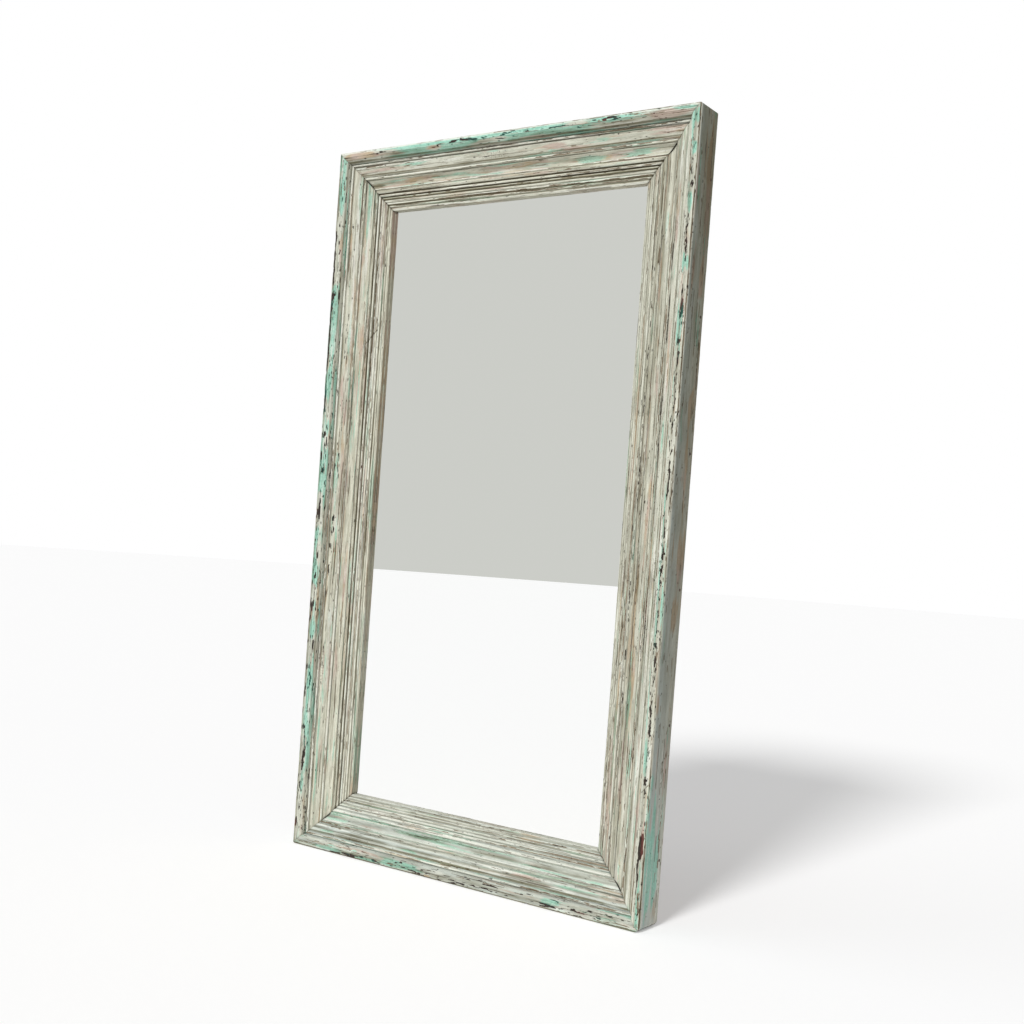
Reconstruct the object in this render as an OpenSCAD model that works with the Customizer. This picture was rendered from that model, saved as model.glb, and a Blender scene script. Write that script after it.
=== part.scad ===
// Full-length floor mirror in a built-up frame of worn painted timber.
// Millimetres. +Z up, the mirror faces -Y, and the origin is the middle of the underside of the whole object.
//
// Every timber layer of the frame is a bar of constant section, mitred at both ends. Its section is drawn in the
// plane (u, v): u runs inward from the outer edge of the frame, and v runs back from the front plane.

/* [Frame] */
// Height of the frame, floor to top
frame_h = 1800; // [1500:10:2000]
// Width of the frame across the outer boards
frame_w = 1040; // [840:10:1200]
// Depth of the frame, front plane to back plane
frame_depth = 84; // [84:1:96]

/* [Outer boards] */
// Thickness of the outer boards, seen as the outermost band
board_t = 28; // [24:1:32]
// Width of the flat front edge before the rounded inner shoulder
band_flat = 14; // [10:1:16]
// Small sunk step where the shoulder begins
band_quirk = 1.2; // [0.6:0.1:2]
// Rounding of the worn front arris
front_arris_r = 4; // [2:0.5:6]
// Rounding of the back arris
back_arris_r = 3; // [1:0.5:5]

/* [Frieze moulding] */
// Width of the frieze moulding
frieze_w = 34; // [30:1:38]
// Width of the rounded fillet along its outer edge
fillet_w = 7; // [6:0.5:8]
// Depth of the fillet's crest behind the front plane
fillet_face = 16; // [15.5:0.5:17.5]
// Width of the groove beside the fillet
groove_w = 3; // [2:0.5:3.5]
// Depth of the outer edge of the sloping face
frieze_outer = 17; // [16.5:0.5:18.5]
// Depth of the inner edge of the sloping face
frieze_inner = 29; // [27:0.5:30]

/* [Cove moulding] */
// Width of the cove moulding
cove_w = 51; // [48:1:55]
// Radius of the thin bead along its outer edge
bead_r = 3.2; // [2.8:0.1:3.6]
// Depth of that bead's crest behind the front plane
bead_face = 29; // [28:0.5:30]
// Depth of the outer edge of the hollow
hollow_outer = 33; // [32.5:0.5:34]
// Depth of the inner edge of the hollow
hollow_inner = 38.5; // [37.5:0.5:39.5]
// Sink of the hollow below the line between its edges
hollow_sink = 4.2; // [3:0.2:4.6]
// Radius of the broad half-round inside the hollow
ridge_r = 4.75; // [4.25:0.25:5.25]
// Depth of its crest behind the front plane
ridge_face = 37; // [36.5:0.5:37.5]
// Radius of the small bead along the inner edge
small_bead_r = 3.5; // [3.1:0.1:3.7]
// Depth of the small bead's crest behind the front plane
small_bead_face = 40.5; // [40:0.5:41]

/* [Reeded slip] */
// Width of the reeded slip
slip_w = 35; // [32:1:38]
// Number of reeds
reed_count = 5; // [5:1:7]
// Depth of the first reed's crest
reed_first = 42; // [41:0.5:42.5]
// Depth of the last reed's crest, beside the glass
reed_last = 51; // [50:0.5:52]

/* [Subframe and glazing] */
// Depth of the subframe's front face behind the front plane
subframe_face = 48; // [46:1:50]
// Distance from the frame's outer edge to the glazing opening
opening_inset = 122; // [120:1:124]
// Depth of the front of the glass behind the front plane
glass_face = 64; // [62:1:65]
// Thickness of the glass
glass_t = 5; // [4:1:6]
// Gap round the glass, filled by blocks and packers
glass_gap = 2; // [1.5:0.5:3]
// Thickness of the soft sheet behind the glass
sheet_t = 3; // [2:0.5:4]
// Thickness of the back board
back_board_t = 6; // [4:1:6]
// Width of the ledge that the back board lies on
ledge_w = 12; // [10:1:14]

/* [Fasteners] */
// Nails along each upright layer
nails_upright = 6; // [4:1:8]
// Nails along each cross layer
nails_cross = 3; // [2:1:5]
// Screws along each long edge of the back board
screws_long = 7; // [5:1:9]
// Screws along each short edge of the back board
screws_short = 4; // [3:1:6]

/* [Hangers and bumpers] */
// Drop of the hanger pivots below the top of the frame
hanger_drop = 380; // [300:10:450]
// Wire radius of the hanger rings
wire_r = 2; // [1.8:0.1:2.2]
// Radius of the ring's round end, to the middle of the wire
ring_r = 13; // [12:0.5:15]
// Width of the hanger straps
strap_w = 16; // [14:1:17]
// Thickness of the hanger straps
strap_t = 2; // [1.6:0.1:2.2]
// Thickness of the rubber bumpers
bumper_t = 9; // [9:0.5:12]
// Distance from the bumpers to the top and the bottom of the frame
bumper_inset = 160; // [150:10:200]

/* [Hidden] */
$fn = 48;

// The colours of the layers
CREAM = [0.80, 0.78, 0.70];
MINT = [0.60, 0.74, 0.66];
TAUPE = [0.62, 0.57, 0.48];
RAW_PINE = [0.66, 0.54, 0.38];
STEEL = [0.62, 0.62, 0.63];
DARK_IRON = [0.22, 0.18, 0.16];

// Width of the narrow quirks in the frieze and the cove, of the quirk outside the reeds, and of the lip
QUIRK = 1.6;
SLIP_QUIRK = 1;
LIP_W = 2;

// Places across the section, from the outer edge inward
frieze_u = board_t;
cove_u = frieze_u + frieze_w;
slip_u = cove_u + cove_w;
lip_u = slip_u + slip_w;
ledge_u = opening_inset - ledge_w;
glass_u = opening_inset + glass_gap;
frieze_face_u = frieze_u + fillet_w + groove_w;
hollow_u = cove_u + 2 * bead_r + QUIRK;
small_bead_u = slip_u - small_bead_r;
ridge_u = slip_u - 2 * small_bead_r - QUIRK - ridge_r;
reed_pitch = (slip_w - SLIP_QUIRK - LIP_W) / reed_count;
reed_u = slip_u + SLIP_QUIRK + reed_pitch / 2;

// Places through the depth, from the front plane back
lap_v = (subframe_face + frame_depth) / 2;
sheet_v = glass_face + glass_t;
back_board_v = sheet_v + sheet_t;
front_y = -(frame_depth + bumper_t) / 2;
back_y = front_y + frame_depth;

// Overshoot of every cut past the face that it opens
CUT = 1;
// Radial play of a fastener in its hole
PLAY = 0.05;

// Nails: a face nail, a brad and a long nail, each [shank radius, length, head radius, head thickness]
FACE_NAIL = [1.4, 40, 2.8, 1.2];
COVE_NAIL = [1.4, 26, 2.8, 1.2];
BRAD = [0.8, 16, 1.3, 0.8];
BOARD_NAIL = [1.7, 64, 3.4, 1.4];
// Sink of a nail head below the surface round it
HEAD_SINK = 0.4;
// First and last nail of a row, from the ends of the member
NAIL_MARGIN = 210;
// The nails through the outer boards stand between the others
BOARD_NAIL_MARGIN = 150;
board_nail_v = 70;
frieze_nail_u = frieze_u + 20;

// Screws: [shank radius, length, head radius, head height]
BOARD_SCREW = [1.75, 16, 3.6, 2.2];
STRAP_SCREW = [2, 22, 3.8, 2.2];
BUMPER_SCREW = [1.75, 20, 3.4, 2];
SCREW_TIP = 5;
RECESS_W = 1;
RECESS_DEPTH = 1.4;

// Dowels of the corner half laps, at these two distances from the frame's outer corner
DOWEL_R = 5;
DOWEL_NEAR = 50;
DOWEL_FAR = 96;

// Hangers, measured from the pivot
BEND_R = 3.5;
ring_leg = ring_r;
pivot_gap = 0.4;
pivot_out = strap_t + pivot_gap + wire_r;
EYE_PLAY = 0.08;
STRAP_TAIL = 58;
STRAP_HOLES = [36, 50];
STRAP_HOLE_R = 2.3;
hanger_x = frame_w / 2 - (board_t + ledge_u) / 2;
hanger_z = frame_h - hanger_drop;

BUMPER_R = 11;
BUMPER_WELL_R = 5;
BUMPER_FLOOR = 3;
bumper_x = hanger_x;

// Glass supports
BLOCK_L = 80;
PACKER_L = 50;
PACKER_PLAY = 0.1;
// Clearance of the back board and the sheet inside the subframe
BOARD_PLAY = 1.5;

// n places along a length, the first and the last at the margin from its ends
function spaced(n, length, margin) = [for (i = [0 : n - 1]) margin + i * (length - 2 * margin) / (n - 1)];

// Number of nails in a member of this length
function nails_in(length) = length > frame_w ? nails_upright : nails_cross;

// Radius of an arc with this chord and this height
function arc_r(chord, rise) = (chord * chord / 4 + rise * rise) / (2 * rise);

// Centre of an arc from p to q. With a positive rise it bulges to the front, with a negative one it is hollow.
function arc_centre(p, q, rise) =
  let (across = q - p, chord = norm(across), r = arc_r(chord, abs(rise)))
  (p + q) / 2 + (rise > 0 ? 1 : -1) * (r - abs(rise)) / chord * [-across[1], across[0]];

// Both edges of the frieze's sloping face and of the cove's hollow, and the places that follow from them
frieze_from = [frieze_face_u, frieze_outer];
frieze_to = [cove_u - QUIRK, frieze_inner];
hollow_from = [hollow_u, hollow_outer];
hollow_to = [ridge_u - ridge_r - QUIRK, hollow_inner];
hollow_r = arc_r(norm(hollow_to - hollow_from), hollow_sink);
hollow_centre = arc_centre(hollow_from, hollow_to, -hollow_sink);
frieze_slope = (frieze_inner - frieze_outer) / (frieze_to[0] - frieze_from[0]);

// ---- Members: drawn with u along +X, v along +Y and their length along +Z, then put in place ----

module at_left() {
  translate([-frame_w / 2, front_y, 0]) children();
}

module at_right() {
  mirror([1, 0, 0]) at_left() children();
}

module at_bottom() {
  translate([frame_w / 2, front_y, 0]) rotate([0, -90, 0]) children();
}

module at_top() {
  translate([0, 0, frame_h]) mirror([0, 0, 1]) at_bottom() children();
}

// What is left of a member between its two mitre planes, which start at the frame's outer corners
module mitre_limits(length) {
  reach = lip_u + CUT;
  translate([0, frame_depth + CUT, 0])
    rotate([90, 0, 0])
      linear_extrude(frame_depth + 2 * CUT)
        polygon([[0, 0], [reach, reach], [reach, length - reach], [0, length]]);
}

// A bar of the section given as children, mitred at both ends
module mitred(length) {
  intersection() {
    linear_extrude(length) children();
    mitre_limits(length);
  }
}

// The waste outside a rounded corner at the origin, for a solid in the quarter +X +Y
module corner_waste(r) {
  difference() {
    translate([-CUT, -CUT]) square(r + CUT);
    translate([r, r]) circle(r);
  }
}

// ---- Sections of the four visible layers ----

// A deep board: round front arris, narrow flat, sunk step, quarter-round shoulder
module outer_board_section() {
  shoulder_r = board_t - band_flat;
  difference() {
    square([board_t, frame_depth]);
    corner_waste(front_arris_r);
    translate([0, frame_depth]) mirror([0, 1]) corner_waste(back_arris_r);
    difference() {
      translate([band_flat, -CUT]) square([shoulder_r + CUT, shoulder_r + band_quirk + CUT]);
      translate([band_flat, shoulder_r + band_quirk]) circle(shoulder_r);
    }
  }
}

// A half-round of this radius whose crest lies at the place given, on a bar that goes back to the subframe
module half_round(u, crest_v, r) {
  translate([u, crest_v + r]) circle(r);
  translate([u - r, crest_v + r]) square([2 * r, subframe_face - crest_v - r]);
}

// A bar from u1 to u2 with its front at depth v and its back on the subframe
module flat_bar(u1, u2, v) {
  translate([u1, v]) square([u2 - u1, subframe_face - v]);
}

// Rounded fillet, groove, then a broad face that slopes back and bulges slightly
module frieze_section() {
  bulge = 0.8;
  groove_floor = frieze_outer + 3;
  edge_floor = frieze_inner + 2;
  half_round(frieze_u + fillet_w / 2, fillet_face, fillet_w / 2);
  flat_bar(frieze_u, frieze_face_u, groove_floor);
  intersection() {
    flat_bar(frieze_face_u, frieze_to[0], frieze_outer - CUT);
    translate(arc_centre(frieze_from, frieze_to, bulge))
      circle(arc_r(norm(frieze_to - frieze_from), bulge), $fn = 240);
  }
  flat_bar(frieze_to[0] - CUT, cove_u, edge_floor);
}

// Thin bead, quirk, broad hollow that deepens inward, quirk, half-round, quirk, small bead
module cove_section() {
  outer_floor = hollow_outer + 2;
  inner_floor = 42.5;
  half_round(cove_u + bead_r, bead_face, bead_r);
  flat_bar(cove_u, hollow_u + CUT, outer_floor);
  difference() {
    flat_bar(hollow_u, hollow_to[0], hollow_outer - CUT);
    translate(hollow_centre) circle(hollow_r, $fn = 160);
  }
  flat_bar(hollow_to[0] - CUT, small_bead_u, inner_floor);
  half_round(ridge_u, ridge_face, ridge_r);
  half_round(small_bead_u, small_bead_face, small_bead_r);
}

// A tongue on the subframe, then a row of reeds sloping down to the glass, with a square lip
module slip_section() {
  reed_r = reed_pitch * 0.55;
  sink = (reed_last - reed_first) / (reed_count - 1);
  last_u = reed_u + (reed_count - 1) * reed_pitch;
  difference() {
    union() {
      polygon([
        [slip_u, reed_first + reed_r],
        [reed_u, reed_first + reed_r],
        [last_u, reed_last + reed_r],
        [lip_u, reed_last + reed_r],
        [lip_u, glass_face],
        [slip_u, glass_face]
      ]);
      for (i = [0 : reed_count - 1])
        translate([reed_u + i * reed_pitch, reed_first + i * sink + reed_r]) circle(reed_r);
      translate([lip_u - LIP_W, reed_last + 1.5]) square([LIP_W, reed_r + CUT]);
    }
    translate([slip_u - CUT, subframe_face])
      square([opening_inset - slip_u + CUT, glass_face - subframe_face + CUT]);
  }
}

// ---- Nails, brads and screws ----

// A nail along +Z with the top of its head on the origin's plane, or the hole for it, open above the head
module nail(size, hole = false) {
  play = hole ? PLAY : 0;
  above = hole ? 5 * CUT : 0;
  cylinder(h = size[1] + play, r = size[0] + play);
  translate([0, 0, -above]) cylinder(h = size[3] + above, r = size[2] + play);
}

// A row of nails driven back from the face along a member, their heads at depth v
module face_row(length, size, u, v, hole) {
  for (z = spaced(nails_in(length), length, NAIL_MARGIN))
    translate([u, v, z]) rotate([-90, 0, 0]) nail(size, hole);
}

// A row of nails driven inward through an outer board
module side_row(length, hole = false) {
  for (z = spaced(nails_in(length), length, BOARD_NAIL_MARGIN))
    translate([0, board_nail_v, z]) rotate([0, 90, 0]) nail(BOARD_NAIL, hole);
}

// The lower side of the slope decides how deep these heads lie
module frieze_row(length, hole = false) {
  head_u = frieze_nail_u + FACE_NAIL[2];
  v = frieze_outer + frieze_slope * (head_u - frieze_from[0]);
  face_row(length, FACE_NAIL, frieze_nail_u, v + HEAD_SINK, hole);
}

module cove_row(length, hole = false) {
  face_row(length, COVE_NAIL, hollow_centre[0], hollow_centre[1] + hollow_r + HEAD_SINK, hole);
}

module brad_row(length, hole = false) {
  face_row(length, BRAD, reed_u, reed_first + 2 * HEAD_SINK, hole);
}

// A pan-head screw with a cross recess: the head stands up from the origin, the shank goes down
module screw(size) {
  shank_r = size[0];
  head_r = size[2];
  head_h = size[3];
  difference() {
    intersection() {
      cylinder(h = head_h, r = head_r);
      translate([0, 0, head_h - 2 * head_r]) sphere(2 * head_r);
    }
    for (a = [0, 90])
      rotate([0, 0, a])
        translate([-head_r * 0.6, -RECESS_W / 2, head_h - RECESS_DEPTH])
          cube([head_r * 1.2, RECESS_W, RECESS_DEPTH + CUT]);
  }
  translate([0, 0, SCREW_TIP - size[1]]) cylinder(h = size[1] - SCREW_TIP, r = shank_r);
  translate([0, 0, -size[1]]) cylinder(h = SCREW_TIP, r1 = 0.3, r2 = shank_r);
}

// The straight hole for a screw's shank
module screw_hole(size) {
  translate([0, 0, -size[1] - PLAY]) cylinder(h = size[1] + PLAY + CUT, r = size[0] + PLAY);
}

// Puts its children, drawn along +Z, on the plane at depth v with +Z pointing out of the back
module out_of_back(x, v, z) {
  translate([x, front_y + v, z]) rotate([-90, 0, 0]) children();
}

// ---- Visible timber ----

module outer_board(length) {
  difference() {
    mitred(length) outer_board_section();
    side_row(length, true);
  }
}

module frieze(length) {
  difference() {
    mitred(length) frieze_section();
    frieze_row(length, true);
  }
}

module cove(length) {
  difference() {
    mitred(length) cove_section();
    cove_row(length, true);
  }
}

module reeded_slip(length) {
  difference() {
    mitred(length) slip_section();
    brad_row(length, true);
  }
}

module outer_board_left() {
  color(MINT) at_left() outer_board(frame_h);
}

module outer_board_right() {
  color(CREAM) at_right() outer_board(frame_h);
}

module outer_board_top() {
  color(MINT) at_top() outer_board(frame_w);
}

module outer_board_bottom() {
  color(CREAM) at_bottom() outer_board(frame_w);
}

module frieze_left() {
  color(CREAM) at_left() frieze(frame_h);
}

module frieze_right() {
  color(CREAM) at_right() frieze(frame_h);
}

module frieze_top() {
  color(CREAM) at_top() frieze(frame_w);
}

module frieze_bottom() {
  color(CREAM) at_bottom() frieze(frame_w);
}

module cove_left() {
  color(CREAM) at_left() cove(frame_h);
}

module cove_right() {
  color(CREAM) at_right() cove(frame_h);
}

module cove_top() {
  color(TAUPE) at_top() cove(frame_w);
}

module cove_bottom() {
  color(MINT) at_bottom() cove(frame_w);
}

module reeded_slip_left() {
  color(CREAM) at_left() reeded_slip(frame_h);
}

module reeded_slip_right() {
  color(CREAM) at_right() reeded_slip(frame_h);
}

module reeded_slip_top() {
  color(CREAM) at_top() reeded_slip(frame_w);
}

module reeded_slip_bottom() {
  color(CREAM) at_bottom() reeded_slip(frame_w);
}

module face_nails() {
  color(DARK_IRON) {
    at_left() {
      frieze_row(frame_h);
      cove_row(frame_h);
    }
    at_right() {
      frieze_row(frame_h);
      cove_row(frame_h);
    }
    at_top() {
      frieze_row(frame_w);
      cove_row(frame_w);
    }
    at_bottom() {
      frieze_row(frame_w);
      cove_row(frame_w);
    }
  }
}

module slip_brads() {
  color(DARK_IRON) {
    at_left() brad_row(frame_h);
    at_right() brad_row(frame_h);
    at_top() brad_row(frame_w);
    at_bottom() brad_row(frame_w);
  }
}

module board_nails() {
  color(DARK_IRON) {
    at_left() side_row(frame_h);
    at_right() side_row(frame_h);
    at_top() side_row(frame_w);
    at_bottom() side_row(frame_w);
  }
}

// ---- Subframe: half laps, the stiles keep their front half and the rails keep their back half ----

// The two dowels of the corner at the origin, through the whole subframe
module dowel_pair(r) {
  for (p = [[DOWEL_NEAR, DOWEL_FAR], [DOWEL_FAR, DOWEL_NEAR]])
    translate([p[0], subframe_face, p[1]])
      rotate([-90, 0, 0])
        cylinder(h = frame_depth - subframe_face, r = r);
}

// A subframe member with the waste of its laps taken from depth lap_from to lap_to
module subframe_bar(length, lap_from, lap_to) {
  bar_w = opening_inset - board_t;
  difference() {
    translate([board_t, subframe_face, board_t])
      cube([bar_w, frame_depth - subframe_face, length - 2 * board_t]);
    for (z = [board_t - CUT, length - opening_inset])
      translate([board_t - CUT, lap_from, z])
        cube([bar_w + 2 * CUT, lap_to - lap_from, bar_w + CUT]);
    translate([ledge_u, back_board_v, ledge_u])
      cube([ledge_w + CUT, frame_depth - back_board_v + CUT, length - 2 * ledge_u]);
    dowel_pair(DOWEL_R + PLAY);
    translate([0, 0, length]) mirror([0, 0, 1]) dowel_pair(DOWEL_R + PLAY);
    frieze_row(length, true);
    cove_row(length, true);
    brad_row(length, true);
    side_row(length, true);
  }
}

module stile() {
  subframe_bar(frame_h, lap_v, frame_depth + CUT);
}

module rail() {
  subframe_bar(frame_w, subframe_face - CUT, lap_v);
}

module subframe_stile_left() {
  color(RAW_PINE)
    difference() {
      at_left() stile();
      back_screw_holes();
    }
}

module subframe_stile_right() {
  color(RAW_PINE)
    difference() {
      at_right() stile();
      back_screw_holes();
    }
}

module subframe_rail_top() {
  color(RAW_PINE)
    difference() {
      at_top() rail();
      at_board_screws() screw_hole(BOARD_SCREW);
    }
}

module subframe_rail_bottom() {
  color(RAW_PINE)
    difference() {
      at_bottom() rail();
      at_board_screws() screw_hole(BOARD_SCREW);
    }
}

module corner_dowels() {
  color(RAW_PINE)
    for (sx = [0, 1], sz = [0, 1])
      mirror([sx, 0, 0])
        translate([0, 0, sz * frame_h])
          mirror([0, 0, sz])
            at_left() dowel_pair(DOWEL_R);
}

// ---- Glass and back ----

// A sheet that lies flat in the frame, with its edges this far inside the frame's outer edges
module sheet(inset, v, thickness) {
  translate([inset - frame_w / 2, front_y + v, inset])
    cube([frame_w - 2 * inset, thickness, frame_h - 2 * inset]);
}

module mirror_glass() {
  color([0.86, 0.88, 0.88]) sheet(glass_u, glass_face, glass_t);
}

// A block in the gap under the glass, centred on x = 0, this much thinner than the gap on both faces
module glass_support(length, play) {
  translate([-length / 2, front_y + glass_face, opening_inset + play])
    cube([length, glass_t, glass_gap - 2 * play]);
}

module setting_blocks() {
  quarter = (frame_w - 2 * glass_u) / 4;
  color([0.15, 0.15, 0.15])
    for (x = [-quarter, quarter]) translate([x, 0, 0]) glass_support(BLOCK_L, 0);
}

module side_packers() {
  quarter = (frame_w - 2 * glass_u) / 4;
  sixth = (frame_h - 2 * glass_u) / 6;
  color([0.72, 0.60, 0.42]) {
    for (x = [-quarter, quarter])
      translate([x, 0, frame_h]) mirror([0, 0, 1]) glass_support(PACKER_L, PACKER_PLAY);
    for (side = [0, 1], z = [glass_u + sixth, frame_h - glass_u - sixth])
      mirror([side, 0, 0])
        translate([frame_w / 2, 0, z])
          rotate([0, -90, 0]) glass_support(PACKER_L, PACKER_PLAY);
  }
}

module backing_sheet() {
  color([0.86, 0.85, 0.80]) sheet(glass_u + BOARD_PLAY / 3, sheet_v, sheet_t);
}

// Puts its children at every screw of the back board, +Z pointing out of the back
module at_board_screws() {
  inset = ledge_u + ledge_w / 2;
  seat = back_board_v + back_board_t;
  end = 60;
  for (z = spaced(screws_long, frame_h - 2 * inset, end), x = [inset - frame_w / 2, frame_w / 2 - inset])
    out_of_back(x, seat, inset + z) children();
  for (x = spaced(screws_short, frame_w - 2 * inset, end), z = [inset, frame_h - inset])
    out_of_back(inset + x - frame_w / 2, seat, z) children();
}

module back_board() {
  color([0.55, 0.42, 0.30])
    difference() {
      sheet(ledge_u + BOARD_PLAY, back_board_v, back_board_t);
      at_board_screws() screw_hole(BOARD_SCREW);
    }
}

module back_board_screws() {
  color(STEEL) at_board_screws() screw(BOARD_SCREW);
}

// ---- Hangers: a strap with a rolled eye, and a D ring that swings in it ----

// Puts its children in the left hanger's place: +Z up, +Y out of the back, the pivot over the origin
module at_left_hanger() {
  translate([-hanger_x, back_y, hanger_z]) children();
}

module at_right_hanger() {
  mirror([1, 0, 0]) at_left_hanger() children();
}

module strap() {
  eye_r = wire_r + EYE_PLAY;
  end_r = strap_w / 2;
  difference() {
    union() {
      translate([-strap_w / 2, 0, end_r - STRAP_TAIL]) cube([strap_w, strap_t, STRAP_TAIL - end_r]);
      translate([0, strap_t, end_r - STRAP_TAIL]) rotate([90, 0, 0]) cylinder(h = strap_t, r = end_r);
      translate([-strap_w / 2, pivot_out, 0]) rotate([0, 90, 0]) cylinder(h = strap_w, r = eye_r + strap_t);
    }
    translate([-strap_w / 2 - CUT, pivot_out, 0])
      rotate([0, 90, 0])
        cylinder(h = strap_w + 2 * CUT, r = eye_r);
    for (z = STRAP_HOLES)
      translate([0, strap_t + CUT, -z]) rotate([90, 0, 0]) cylinder(h = strap_t + 2 * CUT, r = STRAP_HOLE_R);
  }
}

// The wire of a bend: a quarter turn in the plane of the ring, from +X towards -Y
module wire_arc(r, angle) {
  rotate_extrude(angle = angle) translate([r, 0]) circle(wire_r);
}

// A D ring hanging from its straight bar, which lies along X through the pivot
module ring() {
  bar = 2 * (ring_r - BEND_R);
  translate([0, pivot_out, 0]) {
    translate([-bar / 2, 0, 0]) rotate([0, 90, 0]) cylinder(h = bar, r = wire_r);
    for (side = [0, 1])
      mirror([side, 0, 0]) {
        translate([bar / 2, 0, -BEND_R]) rotate([90, 0, 0]) wire_arc(BEND_R, 90);
        translate([ring_r, 0, -ring_leg]) cylinder(h = ring_leg - BEND_R, r = wire_r);
      }
    translate([0, 0, -ring_leg]) rotate([90, 180, 0]) wire_arc(ring_r, 180);
  }
}

module hanger_strap_left() {
  color(STEEL) at_left_hanger() strap();
}

module hanger_strap_right() {
  color(STEEL) at_right_hanger() strap();
}

module hanger_ring_left() {
  color(STEEL) at_left_hanger() ring();
}

module hanger_ring_right() {
  color(STEEL) at_right_hanger() ring();
}

// Puts its children at every hanger screw, +Z pointing out of the back
module at_hanger_screws(v) {
  for (side = [-1, 1], z = STRAP_HOLES) out_of_back(side * hanger_x, v, hanger_z - z) children();
}

module hanger_screws() {
  color(STEEL) at_hanger_screws(frame_depth + strap_t) screw(STRAP_SCREW);
}

// ---- Bumpers ----

// Puts its children at every bumper, +Z pointing out of the back
module at_bumpers(v) {
  for (side = [-1, 1], z = [bumper_inset, frame_h - bumper_inset]) out_of_back(side * bumper_x, v, z) children();
}

module bumper() {
  difference() {
    cylinder(h = bumper_t, r1 = BUMPER_R, r2 = BUMPER_R - 1.5);
    translate([0, 0, BUMPER_FLOOR]) cylinder(h = bumper_t, r = BUMPER_WELL_R);
    translate([0, 0, -CUT]) cylinder(h = bumper_t, r = BUMPER_SCREW[0] + PLAY);
  }
}

module wall_bumpers() {
  color([0.12, 0.12, 0.12]) at_bumpers(frame_depth) bumper();
}

module bumper_screws() {
  color(STEEL) at_bumpers(frame_depth + BUMPER_FLOOR) screw(BUMPER_SCREW);
}

// All screw holes that open in the back of a stile
module back_screw_holes() {
  at_board_screws() screw_hole(BOARD_SCREW);
  at_hanger_screws(frame_depth + strap_t) screw_hole(STRAP_SCREW);
  at_bumpers(frame_depth + BUMPER_FLOOR) screw_hole(BUMPER_SCREW);
}

outer_board_left();
outer_board_right();
outer_board_top();
outer_board_bottom();
frieze_left();
frieze_right();
frieze_top();
frieze_bottom();
cove_left();
cove_right();
cove_top();
cove_bottom();
reeded_slip_left();
reeded_slip_right();
reeded_slip_top();
reeded_slip_bottom();
subframe_stile_left();
subframe_stile_right();
subframe_rail_top();
subframe_rail_bottom();
corner_dowels();
face_nails();
slip_brads();
board_nails();
mirror_glass();
setting_blocks();
side_packers();
backing_sheet();
back_board();
back_board_screws();
hanger_strap_left();
hanger_strap_right();
hanger_ring_left();
hanger_ring_right();
hanger_screws();
wall_bumpers();
bumper_screws();
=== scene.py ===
# %% [markdown]
# # A full-length floor mirror in a worn painted timber frame
#
# The real thing is a deep frame of four layers of moulding, mitred at the corners, with old paint on it: cream over
# mint green over brown timber, rubbed and chipped along every edge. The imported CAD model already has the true
# sections, the joints and the hardware. What it hasn't got is age, and that is what this lesson adds.
#
# The plan: take the CAD model as the frame of reference, put up a plain studio, then replace the sixteen visible
# mouldings with surfaces worked out in numpy, where the wear is cut into the shape, and finish the rest with paint.

from functools import partialmethod
from math import ceil, cos, pi, radians, sin

import bpy
import numpy as np
from mathutils import Matrix, Vector


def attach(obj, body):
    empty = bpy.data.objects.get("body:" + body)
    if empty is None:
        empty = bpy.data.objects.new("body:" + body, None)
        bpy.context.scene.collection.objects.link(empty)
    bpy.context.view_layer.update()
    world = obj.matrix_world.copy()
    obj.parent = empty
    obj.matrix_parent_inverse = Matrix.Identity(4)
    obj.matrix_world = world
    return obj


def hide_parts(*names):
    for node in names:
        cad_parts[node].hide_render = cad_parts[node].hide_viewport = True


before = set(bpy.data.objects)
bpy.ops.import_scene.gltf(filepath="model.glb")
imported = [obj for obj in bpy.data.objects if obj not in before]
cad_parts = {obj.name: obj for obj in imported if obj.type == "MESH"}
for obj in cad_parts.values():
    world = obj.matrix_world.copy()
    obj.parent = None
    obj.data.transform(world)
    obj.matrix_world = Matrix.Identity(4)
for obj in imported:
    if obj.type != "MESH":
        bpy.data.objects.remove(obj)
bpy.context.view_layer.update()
BODY = "mirror_frame"

# %% [markdown]
# ## Numbers shared with the CAD model
#
# Lengths are in millimetres while a shape is being worked out, as on the CAD source's own list, and become metres
# when a mesh is made. A name in `_U` is a distance inward from the frame's outer edge and one in `_V` a depth behind
# `FRONT_Y`, the plane of the foremost edge. Each layer of moulding starts at its own `_U`.

# %% Sizes
FRAME_W, FRAME_H, FRAME_D = 1040.0, 1800.0, 84.0
FRONT_Y = -46.5
FRIEZE_U, COVE_U, SLIP_U, REBATE_U, LIP_U = 28.0, 62.0, 113.0, 122.0, 148.0
SUBFRAME_V, LIP_V, GLASS_V, GLASS_T = 48.0, 52.5, 64.0, 5.0
SIDES = ("left", "right", "top", "bottom")
print("glass shown, mm:", FRAME_W - 2 * LIP_U, "x", FRAME_H - 2 * LIP_U)

# %% [markdown]
# ## The camera
#
# A camera is a point, a direction and a lens. This one stands to the right of the mirror at chest height. It looks
# almost level, and it is rolled a few degrees, because the mirror leans in the view that is being matched. The small
# vertical shift keeps the uprights from converging.

# %% Camera
def added(name, data):
    """A new object in the scene."""
    made = bpy.data.objects.new(name, data)
    bpy.context.scene.collection.objects.link(made)
    return made


def look(azimuth, above, roll):
    """Turn of a camera. Its back points to azimuth and elevation as on a globe, azimuth 0 towards -Y; then the
    camera rolls about its own axis by roll."""
    a, e, r = radians(azimuth), radians(above), radians(roll)
    back = Vector((sin(a) * cos(e), -cos(a) * cos(e), sin(e)))
    level = Vector((0, 0, 1)).cross(back).normalized()
    upright = back.cross(level)
    right = level * cos(r) + upright * sin(r)
    up = upright * cos(r) - level * sin(r)
    return Matrix((right, up, back)).transposed()


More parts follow.
